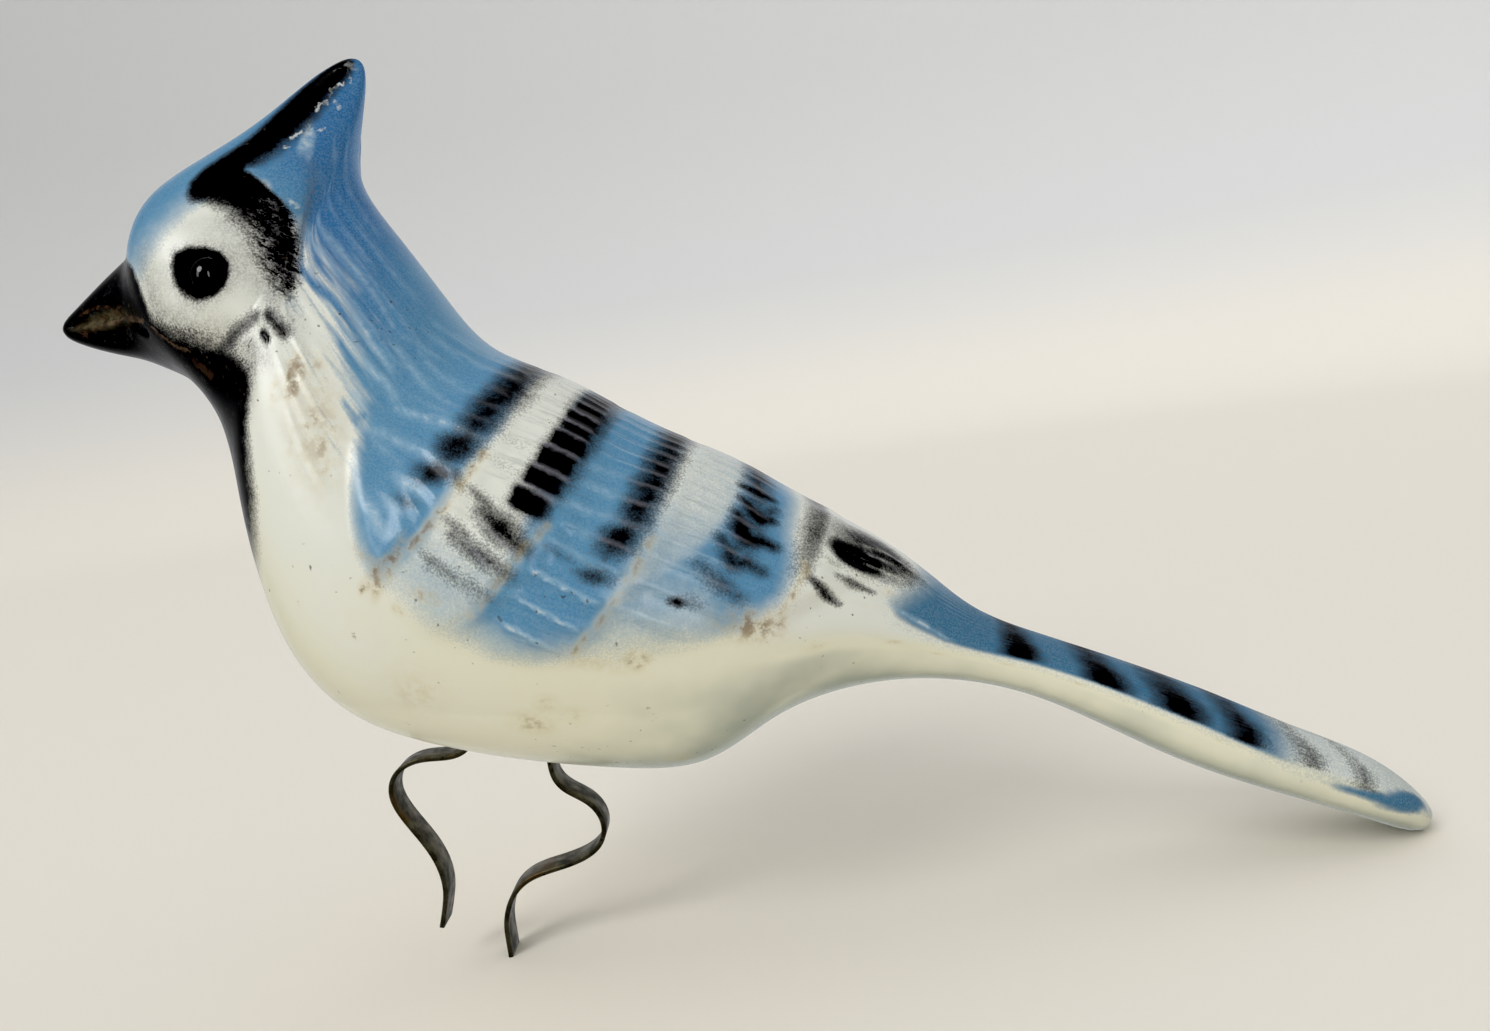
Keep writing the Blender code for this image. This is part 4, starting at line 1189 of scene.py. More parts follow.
def skin_faces(rings, around):
    """Quads between the rings, and a fan from either end's tip, which come after the rings."""
    ring, place = np.meshgrid(np.arange(rings - 1), np.arange(around), indexing="ij")
    here = (ring * around + place).ravel()
    beside = (ring * around + (place + 1) % around).ravel()
    quads = np.stack([here, beside, beside + around, here + around], axis=1)
    first_tip = rings * around
    last_tip = first_tip + 1
    last_ring = (rings - 1) * around
    turn = np.arange(around)
    after = (turn + 1) % around
    first_fan = np.stack([np.full(around, first_tip), after, turn], axis=1)
    last_fan = np.stack([np.full(around, last_tip), last_ring + turn, last_ring + after], axis=1)
    return quads.tolist() + first_fan.tolist() + last_fan.tolist()


def linked_object(name, data):
    made = bpy.data.objects.new(name, data)
    bpy.context.scene.collection.objects.link(made)
    return made


def smooth_mesh(name, points, faces):
    mesh = bpy.data.meshes.new(name)
    mesh.from_pydata(points, [], faces)
    mesh.shade_smooth()
    return mesh


def skin_object():
    """The bird's skin, with its paint and the run of its streaks as values at its points."""
    grid, flat_grid, rib, share = fine_grid()
    rings, around = grid.shape[:2]
    tips = [(tip[0], 0, tip[1]) for tip in (RIBS[0], RIBS[-1])]
    points = np.concatenate([grid.reshape(-1, 3), tips]) * UNIT
    mesh = smooth_mesh("bird_skin", points.tolist(), skin_faces(rings, around))
    for name, values in paint_fields(rib, share, flat_grid).items():
        attribute = mesh.attributes.new(name, "FLOAT", "POINT")
        tip_values = (values[0].mean(), values[-1].mean())
        attribute.data.foreach_set("value", np.concatenate([values.ravel(), tip_values]))
    rib_rate, share_rate, side_rate = FLOW_RATES
    side = np.where(np.arange(around) < POINTS_UP_A_SIDE, 1.0, -1.0)[None, :]
    runs = np.broadcast_arrays(rib * rib_rate, share * share_rate, side * side_rate)
    flow = np.stack(runs, axis=-1)
    flow = np.concatenate([flow.reshape(-1, 3), flow[0, :1], flow[-1, :1]])
    attribute = mesh.attributes.new("flow", "FLOAT_VECTOR", "POINT")
    attribute.data.foreach_set("vector", flow.ravel())
    return linked_object("bird_skin", mesh)


# Strips

# The rounded edges of a strip's section: which side each is on, and the turns round it
STRIP_CORNERS = (
    (1, 1, (0, 45, 90)), (-1, 1, (90, 135, 180)),
    (-1, -1, (180, 225, 270)), (1, -1, (270, 315, 360)),
)


def strip_path(line, slot_depth):
    """A strip's middle line, with the straight stretch that fills its slot."""
    mouth_x, mouth_z = line[0]
    in_slot = [(mouth_x, mouth_z + slot_depth * share) for share in (1, 0.5)]
    controls = in_slot + list(line)
    dense = b_spline(controls, np.linspace(0, 1, CURVE_SAMPLES))
    lengths = running_length(np.linalg.norm(np.diff(dense, axis=0), axis=1))
    return b_spline(controls, even_places(lengths, POINTS_ALONG_A_STRIP))


def ribbon(name, path, width, thickness):
    """A flat strip swept along its path, with its long edges rounded.

    Known fault: its faces are wound inwards.
    """
    inner_width = width / 2 - STRIP_EDGE_ROUNDING
    inner_thickness = thickness / 2 - STRIP_EDGE_ROUNDING
    corners = [
        (side_y * inner_width + STRIP_EDGE_ROUNDING * np.cos(turn),
         side_t * inner_thickness + STRIP_EDGE_ROUNDING * np.sin(turn))
        for side_y, side_t, turns in STRIP_CORNERS
        for turn in np.radians(turns)
    ]
    along = np.gradient(path, axis=0)
    along = along / np.linalg.norm(along, axis=1, keepdims=True)
    normal = np.stack([-along[:, 1], along[:, 0]], axis=1)
    points = [
        (x + normal_x * t, y, z + normal_z * t)
        for (x, z), (normal_x, normal_z) in zip(path, normal)
        for y, t in corners
    ]
    count = len(corners)
    faces = [tuple(range(count)), tuple(range(len(points) - 1, len(points) - 1 - count, -1))]
    for start in range(0, len(points) - count, count):
        for corner in range(count):
            a = start + corner
            b = start + (corner + 1) % count
            faces.append((a, a + count, b + count, b))
    return linked_object(name, smooth_mesh(name, (np.array(points) * UNIT).tolist(), faces))


def cut_slots(skin):
    """Sets the slots' cutters, a little wider and deeper than the strips, against the skin.

    Known fault: as ribbon() winds its faces inwards, the cutters take nothing away. The skin
    stays closed where the strips go in.
    """
    cutters = []
    for name, line in (("front_slot", FRONT_STRIP_LINE), ("rear_slot", REAR_STRIP_LINE)):
        path = strip_path(line, SLOT_DEPTH + SLOT_GAP)
        cutter = ribbon(name, path[: POINTS_ALONG_A_STRIP // 3], STRIP_WIDTH + 2 * SLOT_GAP,
                        STRIP_THICKNESS + 2 * SLOT_GAP)
        cut = skin.modifiers.new(name, "BOOLEAN")
        cut.operation = "DIFFERENCE"
        cut.solver = "EXACT"
        cut.object = cutter
        cutters.append(cutter)
    evaluated = skin.evaluated_get(bpy.context.evaluated_depsgraph_get())
    cut_mesh = bpy.data.meshes.new_from_object(evaluated)
    skin.modifiers.clear()
    skin.data = cut_mesh
    for cutter in cutters:
        bpy.data.objects.remove(cutter)


# Materials


class Nodes:
    """Short ways to add and join the nodes of one material or world."""

    def __init__(self, owner):
        owner.use_nodes = True
        self.tree = owner.node_tree

    def fill(self, node, inputs):
        """Sets inputs of a node, by name or number, to a value or to what another node gives."""
        for name, value in inputs.items():
            if isinstance(value, bpy.types.NodeSocket):
                self.tree.links.new(value, node.inputs[name])
            else:
                node.inputs[name].default_value = value

    def add(self, kind, inputs=None, **settings):
        """A new node with these settings and inputs."""
        node = self.tree.nodes.new("ShaderNode" + kind)
        for name, value in settings.items():
            setattr(node, name, value)
        self.fill(node, inputs or {})
        return node

    def attribute(self, name, output="Fac"):
        return self.add("Attribute", attribute_name=name).outputs[output]

    def place(self):
        return self.add("TexCoord").outputs["Object"]

    def combed(self, vector, turn, length, width):
        """A noise drawn out along one direction of the side view."""
        inputs = {"Rotation": (0, turn, 0), "Scale": (length, 1, width), "Vector": vector}
        mapping = self.add("Mapping", inputs, vector_type="TEXTURE")
        return self.noise(mapping.outputs["Vector"], *BARB_NOISE)

    def noise(self, vector, scale, detail, roughness, stretch=None):
        """A noise, drawn out where a stretch is given."""
        if stretch is not None:
            vector = self.add("Mapping", {"Scale": stretch, "Vector": vector}).outputs["Vector"]
        inputs = {"Scale": scale, "Detail": detail, "Roughness": roughness, "Vector": vector}
        return self.add("TexNoise", inputs).outputs["Fac"]

    def math(self, operation, first, second=0.0, clamp=False):
        inputs = {0: first, 1: second}
        return self.add("Math", inputs, operation=operation, use_clamp=clamp).outputs["Value"]

    def product(self, first, second):
        return self.math("MULTIPLY", first, second)

    def clamped(self, value):
        return self.math("ADD", value, 0.0, clamp=True)

    def vector(self, operation, first, second=(0, 0, 0), output="Vector"):
        inputs = {0: first, 1: second}
        return self.add("VectorMath", inputs, operation=operation).outputs[output]

    def scatter(self, vector, scale, amount):
        """The vector pushed about by a noise, by up to about half the amount."""
        noise = self.add("TexNoise", {"Scale": scale, "Vector": vector}).outputs["Color"]
        off = self.vector("SUBTRACT", noise, (0.5, 0.5, 0.5))
        off = self.vector("MULTIPLY", off, (amount, amount, amount))
        return self.vector("ADD", vector, off)

    def ramp(self, value, low, high, to_low=0.0, to_high=1.0, kind="SMOOTHSTEP"):
        inputs = {"From Min": low, "From Max": high, "To Min": to_low, "To Max": to_high,
                  "Value": value}
        return self.add("MapRange", inputs, interpolation_type=kind).outputs["Result"]

    def mix(self, factor, first, second):
        """A mix of two colours, whose sockets share their names and so go by number."""
        inputs = {"Factor": factor, 6: first, 7: second}
        return self.add("Mix", inputs, data_type="RGBA").outputs[2]

    def bump(self, height, strength, distance, beneath=None):
        inputs = {"Strength": strength, "Distance": distance, "Height": height}
        if beneath is not None:
            inputs["Normal"] = beneath
        return self.add("Bump", inputs).outputs["Normal"]


def new_material(name):
    """A new material, its nodes and its shader."""
    made = bpy.data.materials.new(name)
    nodes = Nodes(made)
    return made, nodes, nodes.tree.nodes["Principled BSDF"]


def colour(red, green, blue):
    """A screen colour, 0 to 255, as the linear numbers that a shader takes."""
    parts = np.array([red, green, blue]) / 255
    linear = np.where(parts <= 0.04045, parts / 12.92, ((parts + 0.055) / 1.055) ** 2.4)
    return (*linear.tolist(), 1.0)


IVORY = colour(229, 231, 221)
CREAM = colour(231, 229, 206)
# A painted shade for the underside, most under the rump and the tail
UNDERSIDE_SHADE = colour(160, 167, 154)
SHADED_BODY = colour(176, 184, 178)
MID_BLUE = colour(84, 142, 179)
DEEP_BLUE = colour(28, 102, 158)
DULL_BLUE = colour(52, 108, 142)
# Pale blue and bare body, for wear and chips and also for painted highlights on the relief
WORN_AND_HIGHLIT_BLUE = colour(172, 202, 220)
WORN_AND_HIGHLIT_BODY = colour(222, 228, 226)
WORN_BLACK = colour(112, 112, 120)
BLACK = colour(2, 2, 3)
THIN_BLACK = colour(32, 30, 32)
BARB_LIGHT = colour(84, 82, 98)
HAZE = colour(92, 90, 88)
# Stain colours, which also paint the shade along the edges of the rows of feathers
PALE_STAIN_AND_EDGE_SHADE = colour(206, 188, 142)
DARK_STAIN_AND_EDGE_SHADE = colour(138, 110, 66)
SPECK = colour(60, 52, 40)
BEAK_BROWN = colour(74, 52, 36)
MOUTH_TAN = colour(104, 84, 66)
OILED_STEEL = colour(46, 44, 34)
BARE_STEEL = colour(104, 99, 76)
RUST = colour(92, 74, 44)
STEEL_PIT = colour(30, 28, 24)
# Painted light and shade on the one backdrop: lighter and warmer on the floor, darker and cooler
# up the wall
LIT_FLOOR = colour(238, 232, 220)
SHADED_WALL = colour(212, 213, 213)

# Noises: how fine, how many octaves, how rough and, where they are drawn out, by how much
DROPLET_NOISE = (3400, 1.0, 0.5)
BLOTCH_NOISE = (620, 3.0, 0.6)
CLOUD_NOISE = (60, 3.0, 0.55)
STREAK_NOISE = (1.0, 3.0, 0.55, (0.09, 0.75, 1.0))
FINE_STREAK_NOISE = (1.0, 2.0, 0.6, (0.22, 2.2, 1.0))
BARB_NOISE = (1.0, 2.0, 0.6)
STAIN_NOISE = (520, 4.0, 0.65)
SPECK_NOISE = (900, 1.0, 0.5)
# Where nearly all of a noise lies
NOISE_SPAN = (0.3, 0.7)

# The share of a coat's edge that is broken into droplets, and how its thinner part gains on
# the eye over an even mix
DROPLETS = 0.22
FINE_DROPLETS = 0.13
COVERING_POWER = 1.8

# Thin marks, only on the near side: how ragged they are, how soft their edges, and how far
# past the middle line they fade in
MARK_GRAIN = 1500
MARK_RAGGEDNESS = 0.0013
MARK_SOFTNESS = 0.16
NEAR_SIDE_FADE = 0.002


def sprayed(nodes, field, grain, droplets):
    """A sprayed coat: where its coverage is less than full it thins and breaks into droplets."""
    left = nodes.math("SUBTRACT", field, nodes.product(grain, droplets))
    thin = nodes.math("DIVIDE", left, 1 - droplets, clamp=True)
    bare = nodes.math("POWER", nodes.math("SUBTRACT", 1.0, thin), COVERING_POWER)
    return nodes.math("SUBTRACT", 1.0, bare)


def varied(nodes, field, noise, amount):
    """A coverage made thicker and thinner by a noise, and left at 0 where it is 0."""
    return nodes.product(field, nodes.ramp(noise, *NOISE_SPAN, 1 - amount, 1 + amount))


def nudged(nodes, field, noise, amount):
    """A field with a noise about 0 added to it."""
    off = nodes.product(nodes.math("SUBTRACT", noise, 0.5), amount)
    return nodes.math("ADD", field, off)


def thin_marks(nodes, spot, marks):
    """Coverage of thin lines that are drawn between points of the side view."""
    covered = 0.0
    for line, half_width, thickness in marks:
        edge = ((half_width + MARK_SOFTNESS) * UNIT, (half_width - MARK_SOFTNESS) * UNIT)
        for (x0, z0), (x1, z1) in zip(line, line[1:]):
            run = np.array([x1 - x0, 0.0, z1 - z0]) * UNIT
            over_length = run / run.dot(run)
            offset = nodes.vector("SUBTRACT", spot, (x0 * UNIT, 0.0, z0 * UNIT))
            along = nodes.vector("DOT_PRODUCT", offset, tuple(over_length), output="Value")
            reached = nodes.add("VectorMath", {0: tuple(run), "Scale": nodes.clamped(along)},
                                operation="SCALE").outputs["Vector"]
            distance = nodes.vector("DISTANCE", offset, reached, output="Value")
            mark = nodes.ramp(distance, *edge, 0.0, thickness)
            covered = nodes.math("MAXIMUM", mark, covered)
    return covered


def glaze_grain(nodes):
    """The places and noises that the layers of the glaze share."""
    place = nodes.place()
    side_view = nodes.vector("MULTIPLY", place, (1.0, 0.0, 1.0))
    across = nodes.vector("DOT_PRODUCT", place, (0.0, -1.0, 0.0), output="Value")
    flow = nodes.attribute("flow", "Vector")
    return SimpleNamespace(
        spot=nodes.scatter(side_view, MARK_GRAIN, MARK_RAGGEDNESS),
        near_side=nodes.ramp(across, 0.0, NEAR_SIDE_FADE),
        droplets=nodes.ramp(nodes.noise(place, *DROPLET_NOISE), *NOISE_SPAN),
        blotches=nodes.noise(place, *BLOTCH_NOISE),
        clouds=nodes.noise(place, *CLOUD_NOISE),
        streaks=nodes.noise(flow, *STREAK_NOISE),
        fine_streaks=nodes.noise(flow, *FINE_STREAK_NOISE),
        stains=nodes.noise(place, *STAIN_NOISE),
        specks=nodes.noise(place, *SPECK_NOISE),
    )


# How ragged the crests between the feathers are, how near a crest counts as one, and how far
# beside it its hollow lies
CREST_RAGGEDNESS = 0.3
CREST_SPAN = (0.60, 0.98)
HOLLOW_SHIFT = 0.2
HOLLOW_SPAN = (0.55, 0.95)


def feather_lines(nodes, grain):
    """The crests between the wing's feathers, and the hollow beside each."""
    count = nudged(nodes, nodes.attribute("feathers"), grain.blotches, CREST_RAGGEDNESS)
    lines = []
    for shift, span in ((0.0, CREST_SPAN), (HOLLOW_SHIFT, HOLLOW_SPAN)):
        past = nodes.math("FRACT", nodes.math("ADD", count, shift))
        between = nodes.math("ABSOLUTE", nodes.math("SUBTRACT", past, 0.5))
        near = nodes.ramp(nodes.product(between, 2.0), *span)
        lines.append(nodes.product(near, nodes.attribute("feathered")))
    return lines


# How uneven the body's tone is, the values over which it turns cream and then to the painted
# shade of the underside, and how the fine streaks break up the painted shade in the hollows
CREAM_UNEVENNESS = 0.7
CREAM_SPAN = (0.0, 0.9)
UNDERSIDE_SHADE_SPAN = (1.1, 1.9)
HOLLOW_SHADE = (0.35, 0.65, 0.1, 0.6)


def white_body(nodes, grain, hollow):
    """The white body, warmer towards the belly, with painted shade underneath and beside the
    crests.
    """
    cream_and_shade = nudged(nodes, nodes.attribute("cream_and_shade"), grain.clouds, CREAM_UNEVENNESS)
    body = nodes.mix(nodes.ramp(cream_and_shade, *CREAM_SPAN), IVORY, CREAM)
    body = nodes.mix(nodes.ramp(cream_and_shade, *UNDERSIDE_SHADE_SPAN), body, UNDERSIDE_SHADE)
    shaded = nodes.product(hollow, nodes.ramp(grain.fine_streaks, *HOLLOW_SHADE))
    return nodes.mix(shaded, body, SHADED_BODY)


# How strongly the streaks thin the blue, how uneven its thickness, depth and dullness are, the
# values over which it turns deep and dull, and how its droplets show
STREAK_STRENGTH = 1.5
BLUE_UNEVENNESS = 0.08
DEPTH_UNEVENNESS = 0.8
DEPTH_SPAN = (-0.2, 1.0)
DULLNESS_UNEVENNESS = 0.5
DULLNESS_SPAN = (0.0, 1.2)
BLUE_GRAIN = (0.0, 1.0, 0.92, 1.0)


def blue_over(nodes, grain, painted):
    """Blue, deeper on the neck, duller on the tail and thin along its streaks."""
    streaky = nodes.product(nodes.attribute("streaky"), STREAK_STRENGTH)
    streaks = nodes.product(nodes.math("SUBTRACT", grain.streaks, 0.5), streaky)
    field = nodes.math("ADD", nodes.attribute("blue"), streaks)
    field = varied(nodes, field, grain.blotches, BLUE_UNEVENNESS)
    mask = sprayed(nodes, field, grain.droplets, FINE_DROPLETS)
    depth = nudged(nodes, nodes.attribute("deep"), grain.fine_streaks, DEPTH_UNEVENNESS)
    depth = nudged(nodes, depth, grain.clouds, DEPTH_UNEVENNESS)
    blue = nodes.mix(nodes.ramp(depth, *DEPTH_SPAN), MID_BLUE, DEEP_BLUE)
    dullness = nudged(nodes, nodes.attribute("dull"), grain.fine_streaks, DULLNESS_UNEVENNESS)
    blue = nodes.mix(nodes.ramp(dullness, *DULLNESS_SPAN), blue, DULL_BLUE)
    grainy = nodes.ramp(grain.droplets, *BLUE_GRAIN)
    return nodes.mix(nodes.product(mask, grainy), painted, blue), mask


# How uneven the wear and the painted highlights on the crests and in the streaks are, the values
# over which the blue goes down to the body, and how much of it shows
CREST_WEAR_AND_HIGHLIGHT_CLOUDS = (0.35, 0.65, 0.25, 0.75)
WEAR_AND_HIGHLIGHT_UNEVENNESS = 0.3
BARE_SPAN = (0.6, 1.0)
WEAR_AND_HIGHLIGHT_COVERAGE = 0.72


def wear_and_highlights_over(nodes, grain, painted, crest_line, blue_mask):
    """Wear and painted highlights on feather crests and in streaks, down to the body where deep.
    """
    crests = nodes.math("MAXIMUM", nodes.attribute("crest"), crest_line)
    crests = nodes.product(crests, nodes.ramp(grain.clouds, *CREST_WEAR_AND_HIGHLIGHT_CLOUDS))
    worn = nodes.math("MAXIMUM", nodes.attribute("pale"), crests)
    worn = nodes.ramp(varied(nodes, worn, grain.blotches, WEAR_AND_HIGHLIGHT_UNEVENNESS), 0.0, 1.0)
    worn = nodes.product(worn, blue_mask)
    paint = nodes.mix(nodes.ramp(worn, *BARE_SPAN), WORN_AND_HIGHLIT_BLUE, WORN_AND_HIGHLIT_BODY)
    return nodes.mix(nodes.product(worn, WEAR_AND_HIGHLIGHT_COVERAGE), painted, paint)


# How uneven the haze is, and how its droplets show
HAZE_UNEVENNESS = 0.2
HAZE_GRAIN = (0.0, 1.0, 1.35, 0.65)


def haze_over(nodes, grain, painted):
    """The haze of overspray on the face."""
    haze = varied(nodes, nodes.attribute("haze"), grain.blotches, HAZE_UNEVENNESS)
    haze = nodes.product(haze, nodes.ramp(grain.droplets, *HAZE_GRAIN))
    return nodes.mix(nodes.clamped(haze), painted, HAZE)


# The barbs of the mask: how they are turned on the side view, how long and wide they are, how
# much black they take away and add, how thick it must be for them, and the light between them
BARB_TURN = 0.62
BARB_LENGTH = 0.0026
BARB_WIDTH = 0.00045
BARB_DEPTH = (0.38, 0.60, -0.55, 0.25)
BARBED_BLACK = (0.05, 0.5)
BARB_LIGHT_SPAN = (-0.1, -0.6)
BARB_LIGHT_COVERAGE = 0.6
# How uneven the black is, the values over which it turns full, and how its crests are worn
BLACK_UNEVENNESS = 0.12
THICK_BLACK = (0.5, 1.0)
BLACK_WEAR = (0.5, 1.0)
BLACK_WEAR_COVERAGE = 0.8


def black_over(nodes, grain, painted, crest_line):
    """Black, combed into barbs behind the mask and worn along the crests of the feathers."""
    field = varied(nodes, nodes.attribute("black"), grain.blotches, BLACK_UNEVENNESS)
    combing = nodes.combed(grain.spot, BARB_TURN, BARB_LENGTH, BARB_WIDTH)
    combing = nodes.product(nodes.ramp(combing, *BARB_DEPTH), nodes.attribute("barbs"))
    combing = nodes.product(combing, nodes.ramp(nodes.attribute("black"), *BARBED_BLACK))
    field = nodes.math("ADD", field, combing)
    mask = sprayed(nodes, field, grain.droplets, DROPLETS)
    paint = nodes.mix(nodes.ramp(field, *THICK_BLACK), THIN_BLACK, BLACK)
    worn = nodes.product(crest_line, nodes.ramp(grain.blotches, *NOISE_SPAN, *BLACK_WEAR))
    paint = nodes.mix(nodes.product(worn, BLACK_WEAR_COVERAGE), paint, WORN_BLACK)
    light = nodes.product(nodes.ramp(combing, *BARB_LIGHT_SPAN), BARB_LIGHT_COVERAGE)
    painted = nodes.mix(light, painted, BARB_LIGHT)
    return nodes.mix(mask, painted, paint), mask


# How the blotches break up the chips and the worn lines
MARK_BREAKS = (0.38, 0.6, 0.1, 0.9)


def marks_over(nodes, grain, painted):
    """Chips on the crest, and wear on the beak and at the corner of the mouth."""
    for marks, tone in ((CREST_CHIPS, WORN_AND_HIGHLIT_BODY), (BEAK_WEAR, BEAK_BROWN),
                        (MOUTH_WEAR, MOUTH_TAN)):
        chipped = nodes.product(thin_marks(nodes, grain.spot, marks), grain.near_side)
        broken = nodes.ramp(grain.blotches, *MARK_BREAKS)
        painted = nodes.mix(nodes.product(chipped, broken), painted, tone)
    return painted


# How grainy the stains and the painted edge shade are, the values over which they show and turn
# dark, and how the specks come and go
STAIN_GRAIN = (0.36, 0.62, 0.2, 1.0)
STAIN_SPAN = (0.0, 0.9)
DARK_STAIN_SPAN = (0.3, 0.9)
STAIN_COVERAGE = 0.8
SPECK_SPAN = (0.715, 0.765)
SPECK_CLOUDS = (0.46, 0.60)
SPECK_COVERAGE = 0.7


def dirt_and_shade_over(nodes, grain, painted):
    """Brown stains, dirt and painted shade along the rows' edges, and small dark specks."""
    stain_and_edge_shade = nodes.ramp(nodes.attribute("stain_and_edge_shade"), *STAIN_SPAN)
    stain_and_edge_shade = nodes.product(stain_and_edge_shade, nodes.ramp(grain.stains, *STAIN_GRAIN))
    tone = nodes.mix(nodes.ramp(stain_and_edge_shade, *DARK_STAIN_SPAN), PALE_STAIN_AND_EDGE_SHADE, DARK_STAIN_AND_EDGE_SHADE)
    painted = nodes.mix(nodes.product(stain_and_edge_shade, STAIN_COVERAGE), painted, tone)
    specks = nodes.ramp(grain.specks, *SPECK_SPAN)
    specks = nodes.product(specks, nodes.ramp(grain.clouds, *SPECK_CLOUDS))
    return nodes.mix(nodes.product(specks, SPECK_COVERAGE), painted, SPECK)


# The glaze's roughness, and how much of it the eye's bead keeps; its shine where it is pale
# and where it is black, and what the bead adds; its bumps with their strengths and depths
GLAZE_ROUGHNESS = (0.21, 0.27)
BEAD_ROUGHNESS_KEPT = 0.25
PALE_AND_BLACK_SHINE = (0.5, 0.2)
BEAD_SHINE = 0.3
BLOTCH_BUMP = (0.06, 0.0001)
STREAK_BUMP = (0.1, 0.0001)
CREST_BUMP = (0.6, 0.0002)


def glaze():
    made, nodes, shader = new_material("glazed ceramic")
    grain = glaze_grain(nodes)
    crest_line, hollow = feather_lines(nodes, grain)
    painted = white_body(nodes, grain, hollow)
    painted, blue_mask = blue_over(nodes, grain, painted)
    painted = wear_and_highlights_over(nodes, grain, painted, crest_line, blue_mask)
    painted = haze_over(nodes, grain, painted)
    painted, black_mask = black_over(nodes, grain, painted, crest_line)
    painted = marks_over(nodes, grain, painted)
    painted = dirt_and_shade_over(nodes, grain, painted)

    eye = nodes.attribute("eye")
    roughness = nodes.ramp(grain.blotches, *NOISE_SPAN, *GLAZE_ROUGHNESS)
    roughness = nodes.product(roughness, nodes.ramp(eye, 0.0, 1.0, 1.0, BEAD_ROUGHNESS_KEPT))
    shine = nodes.ramp(black_mask, 0.0, 1.0, *PALE_AND_BLACK_SHINE)
    shine = nodes.math("ADD", shine, nodes.product(eye, BEAD_SHINE), clamp=True)
    normal = nodes.bump(grain.blotches, *BLOTCH_BUMP)
    normal = nodes.bump(grain.fine_streaks, *STREAK_BUMP, normal)
    normal = nodes.bump(crest_line, *CREST_BUMP, normal)
    nodes.fill(shader, {"Base Color": painted, "Roughness": roughness,
                        "Specular IOR Level": shine, "Normal": normal})
    return made


# The steel's mottling, its finest grain and its rusty patches, and how metallic it is
STEEL_MOTTLE_NOISE = (420, 4.0, 0.6)
STEEL_GRAIN_NOISE = (1900, 2.0, 0.6)
RUST_NOISE = (130, 3.0, 0.6)
RUST_SPAN = (0.54, 0.7)
PIT_SPAN = (0.62, 0.72)
STEEL_METALLIC = 0.85
STEEL_ROUGHNESS = (0.55, 0.32)
STEEL_BUMP = (0.3, 0.00008)


def spring_steel():
    made, nodes, shader = new_material("spring steel")
    place = nodes.place()
    mottle = nodes.noise(place, *STEEL_MOTTLE_NOISE)
    grain = nodes.noise(place, *STEEL_GRAIN_NOISE)
    patches = nodes.noise(place, *RUST_NOISE)
    base = nodes.mix(nodes.ramp(mottle, *NOISE_SPAN), OILED_STEEL, BARE_STEEL)
    base = nodes.mix(nodes.ramp(patches, *RUST_SPAN), base, RUST)
    base = nodes.mix(nodes.ramp(grain, *PIT_SPAN), base, STEEL_PIT)
    nodes.fill(shader, {
        "Base Color": base,
        "Metallic": STEEL_METALLIC,
        "Roughness": nodes.ramp(mottle, *NOISE_SPAN, *STEEL_ROUGHNESS),
        "Normal": nodes.bump(grain, *STEEL_BUMP),
    })
    return made


FLOOR_ROUGHNESS = 0.85
WALL_TONE_HEIGHT = 0.25


def studio_floor():
    made, nodes, shader = new_material("studio floor")
    height = nodes.vector("DOT_PRODUCT", nodes.place(), (0.0, 0.0, 1.0), output="Value")
    # The backdrop's painted light and shade: the lit floor tone turning to the shaded wall tone
    # with height
    tone = nodes.mix(nodes.ramp(height, 0.0, WALL_TONE_HEIGHT), LIT_FLOOR, SHADED_WALL)
    nodes.fill(shader, {"Base Color": tone, "Roughness": FLOOR_ROUGHNESS})
    return made


# The stage: a pale floor that curves up into a round wall, soft lights and the camera

FLOOR_INNER_RADIUS = 0.3
FLOOR_RADIUS = 1.1
WALL_CURVE = 0.5
WALL_HEIGHT = 1.4
CURVE_TURNS = range(10, 91, 10)
POINTS_AROUND_THE_FLOOR = 96


def build_stage():
    profile = [(FLOOR_INNER_RADIUS, 0.0), (FLOOR_RADIUS, 0.0)]
    for turn in np.radians(CURVE_TURNS):
        across = FLOOR_RADIUS + WALL_CURVE * np.sin(turn)
        profile.append((across, WALL_CURVE * (1 - np.cos(turn))))
    profile.append((FLOOR_RADIUS + WALL_CURVE, WALL_HEIGHT))
    around = POINTS_AROUND_THE_FLOOR
    points = [(0.0, 0.0, 0.0)]
    for radius, height in profile:
        for turn in np.linspace(0, 2 * np.pi, around, endpoint=False):
            points.append((radius * np.cos(turn), radius * np.sin(turn), height))
    faces = []
    for place in range(around):
        after = (place + 1) % around
        faces.append((0, 1 + place, 1 + after))
        for step in range(len(profile) - 1):
            a = 1 + step * around + place
            b = 1 + step * around + after
            faces.append((a, a + around, b + around, b))
    mesh = smooth_mesh("studio_floor", points, faces)
    mesh.materials.append(studio_floor())
    floor = linked_object("studio_floor", mesh)
    floor.visible_shadow = False
    floor.visible_glossy = False


SUN_STRENGTH = 1.25
SUN_WIDTH = 0.5
SUN_SHINE = 0.45
SUN_DIRECTION = (0.52, 0.60, -0.61)
SKY_COLOUR = (0.97, 0.98, 1.0, 1)
SKY_STRENGTH = 0.74
# What the glaze mirrors: a dim room in front, pale cloth behind, and two windows, each with
# the direction it lies in, its half width and half height there, and its strength
ROOM_STRENGTH = 0.06
CLOTH_STRENGTH = 0.55
CLOTH_FROM_TO = (0.40, 0.90)
WINDOWS = (
    ((-0.72, -0.66, 0.24), (0.14, 0.22), 2.6),
    ((0.30, -0.93, 0.15), (0.08, 0.30), 4.0),
)
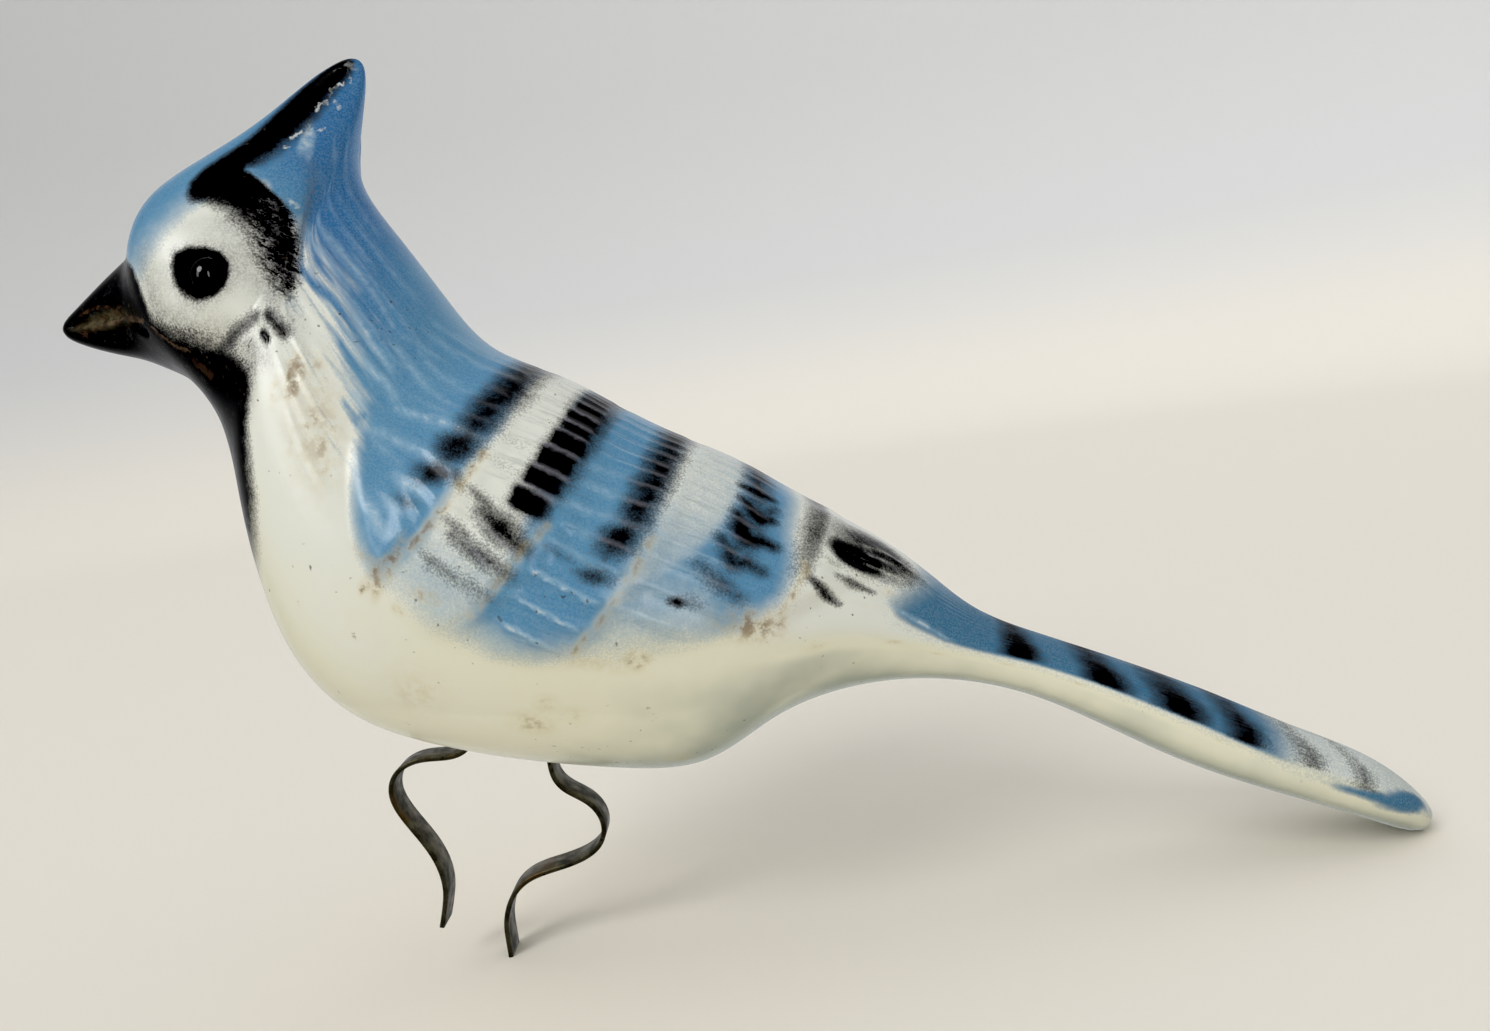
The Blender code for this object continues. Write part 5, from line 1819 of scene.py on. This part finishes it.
# Where a window's light begins and where it is full, as parts of the way to its edge
WINDOW_EDGE = (1.1, 0.9)
# The darkest light that the photograph still tells from black
BLACK_LEVEL = 0.006


def build_sky():
    """An even sky to light by, and behind it the dimmer room that shows in the gloss."""
    world = bpy.data.worlds.new("soft studio")
    nodes = Nodes(world)
    direction = nodes.add("TexCoord").outputs["Generated"]
    behind = nodes.add("SeparateXYZ", {"Vector": direction}).outputs["Y"]
    strength = nodes.ramp(behind, *CLOTH_FROM_TO, ROOM_STRENGTH, CLOTH_STRENGTH)
    for towards, (half_width, half_height), shine in WINDOWS:
        size = (1 / half_width, 1 / half_width, 1 / half_height)
        offset = nodes.vector("MULTIPLY", nodes.vector("SUBTRACT", direction, towards), size)
        length = nodes.vector("LENGTH", offset, output="Value")
        pane = nodes.ramp(length, *WINDOW_EDGE, 0.0, shine, kind="LINEAR")
        strength = nodes.math("ADD", strength, pane)
    sky = nodes.tree.nodes["Background"]
    nodes.fill(sky, {"Color": SKY_COLOUR, "Strength": SKY_STRENGTH})
    room = nodes.add("Background", {"Color": SKY_COLOUR, "Strength": strength})
    mirrored = nodes.add("LightPath").outputs["Is Glossy Ray"]
    seen = nodes.add("MixShader", {0: mirrored, 1: sky.outputs["Background"],
                                   2: room.outputs["Background"]})
    nodes.fill(nodes.tree.nodes["World Output"], {"Surface": seen.outputs["Shader"]})
    bpy.context.scene.world = world


def build_lights():
    """A soft window from the upper left, in front, under an even sky."""
    light = bpy.data.lights.new("window_light", "SUN")
    light.energy = SUN_STRENGTH
    light.angle = SUN_WIDTH
    light.specular_factor = SUN_SHINE
    lamp = linked_object("window_light", light)
    across, ahead, down = SUN_DIRECTION
    lamp.rotation_euler = (np.arctan2(np.hypot(across, ahead), -down), 0,
                           np.arctan2(ahead, across) - np.pi / 2)
    build_sky()
    grading = bpy.context.scene.view_settings
    grading.view_transform = "Standard"
    grading.use_curve_mapping = True
    grading.curve_mapping.black_level = (BLACK_LEVEL, BLACK_LEVEL, BLACK_LEVEL)
    grading.curve_mapping.update()


CAMERA_PLACE = (0.001932, -0.205213, 0.089655)
CAMERA_PITCH = 6.0
CAMERA_ROLL = 8.2425
CAMERA_NEAREST = 0.005
PHOTO_WIDTH = 1490
FOCAL_PIXELS = 1250
SENSOR_WIDTH = 36.0


def build_camera():
    data = bpy.data.cameras.new("camera")
    data.sensor_width = SENSOR_WIDTH
    data.lens = SENSOR_WIDTH * FOCAL_PIXELS / PHOTO_WIDTH
    data.clip_start = CAMERA_NEAREST
    camera = linked_object("camera", data)
    camera.location = CAMERA_PLACE
    camera.rotation_euler = (np.radians(90 - CAMERA_PITCH), np.radians(CAMERA_ROLL), 0)
    bpy.context.scene.camera = camera


def main():
    build_camera()
    build_stage()
    build_lights()
    skin = skin_object()
    cut_slots(skin)
    skin.data.materials.clear()
    skin.data.materials.append(glaze())
    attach(skin, "root")
    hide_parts("bird")
    steel = spring_steel()
    for name, line in (("front_clip_strip", FRONT_STRIP_LINE),
                       ("rear_clip_strip", REAR_STRIP_LINE)):
        path = strip_path(line, SLOT_DEPTH)
        strip = ribbon(name + "_ribbon", path, STRIP_WIDTH, STRIP_THICKNESS)
        strip.data.materials.append(steel)
        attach(strip, "root")
        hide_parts(name)


main()
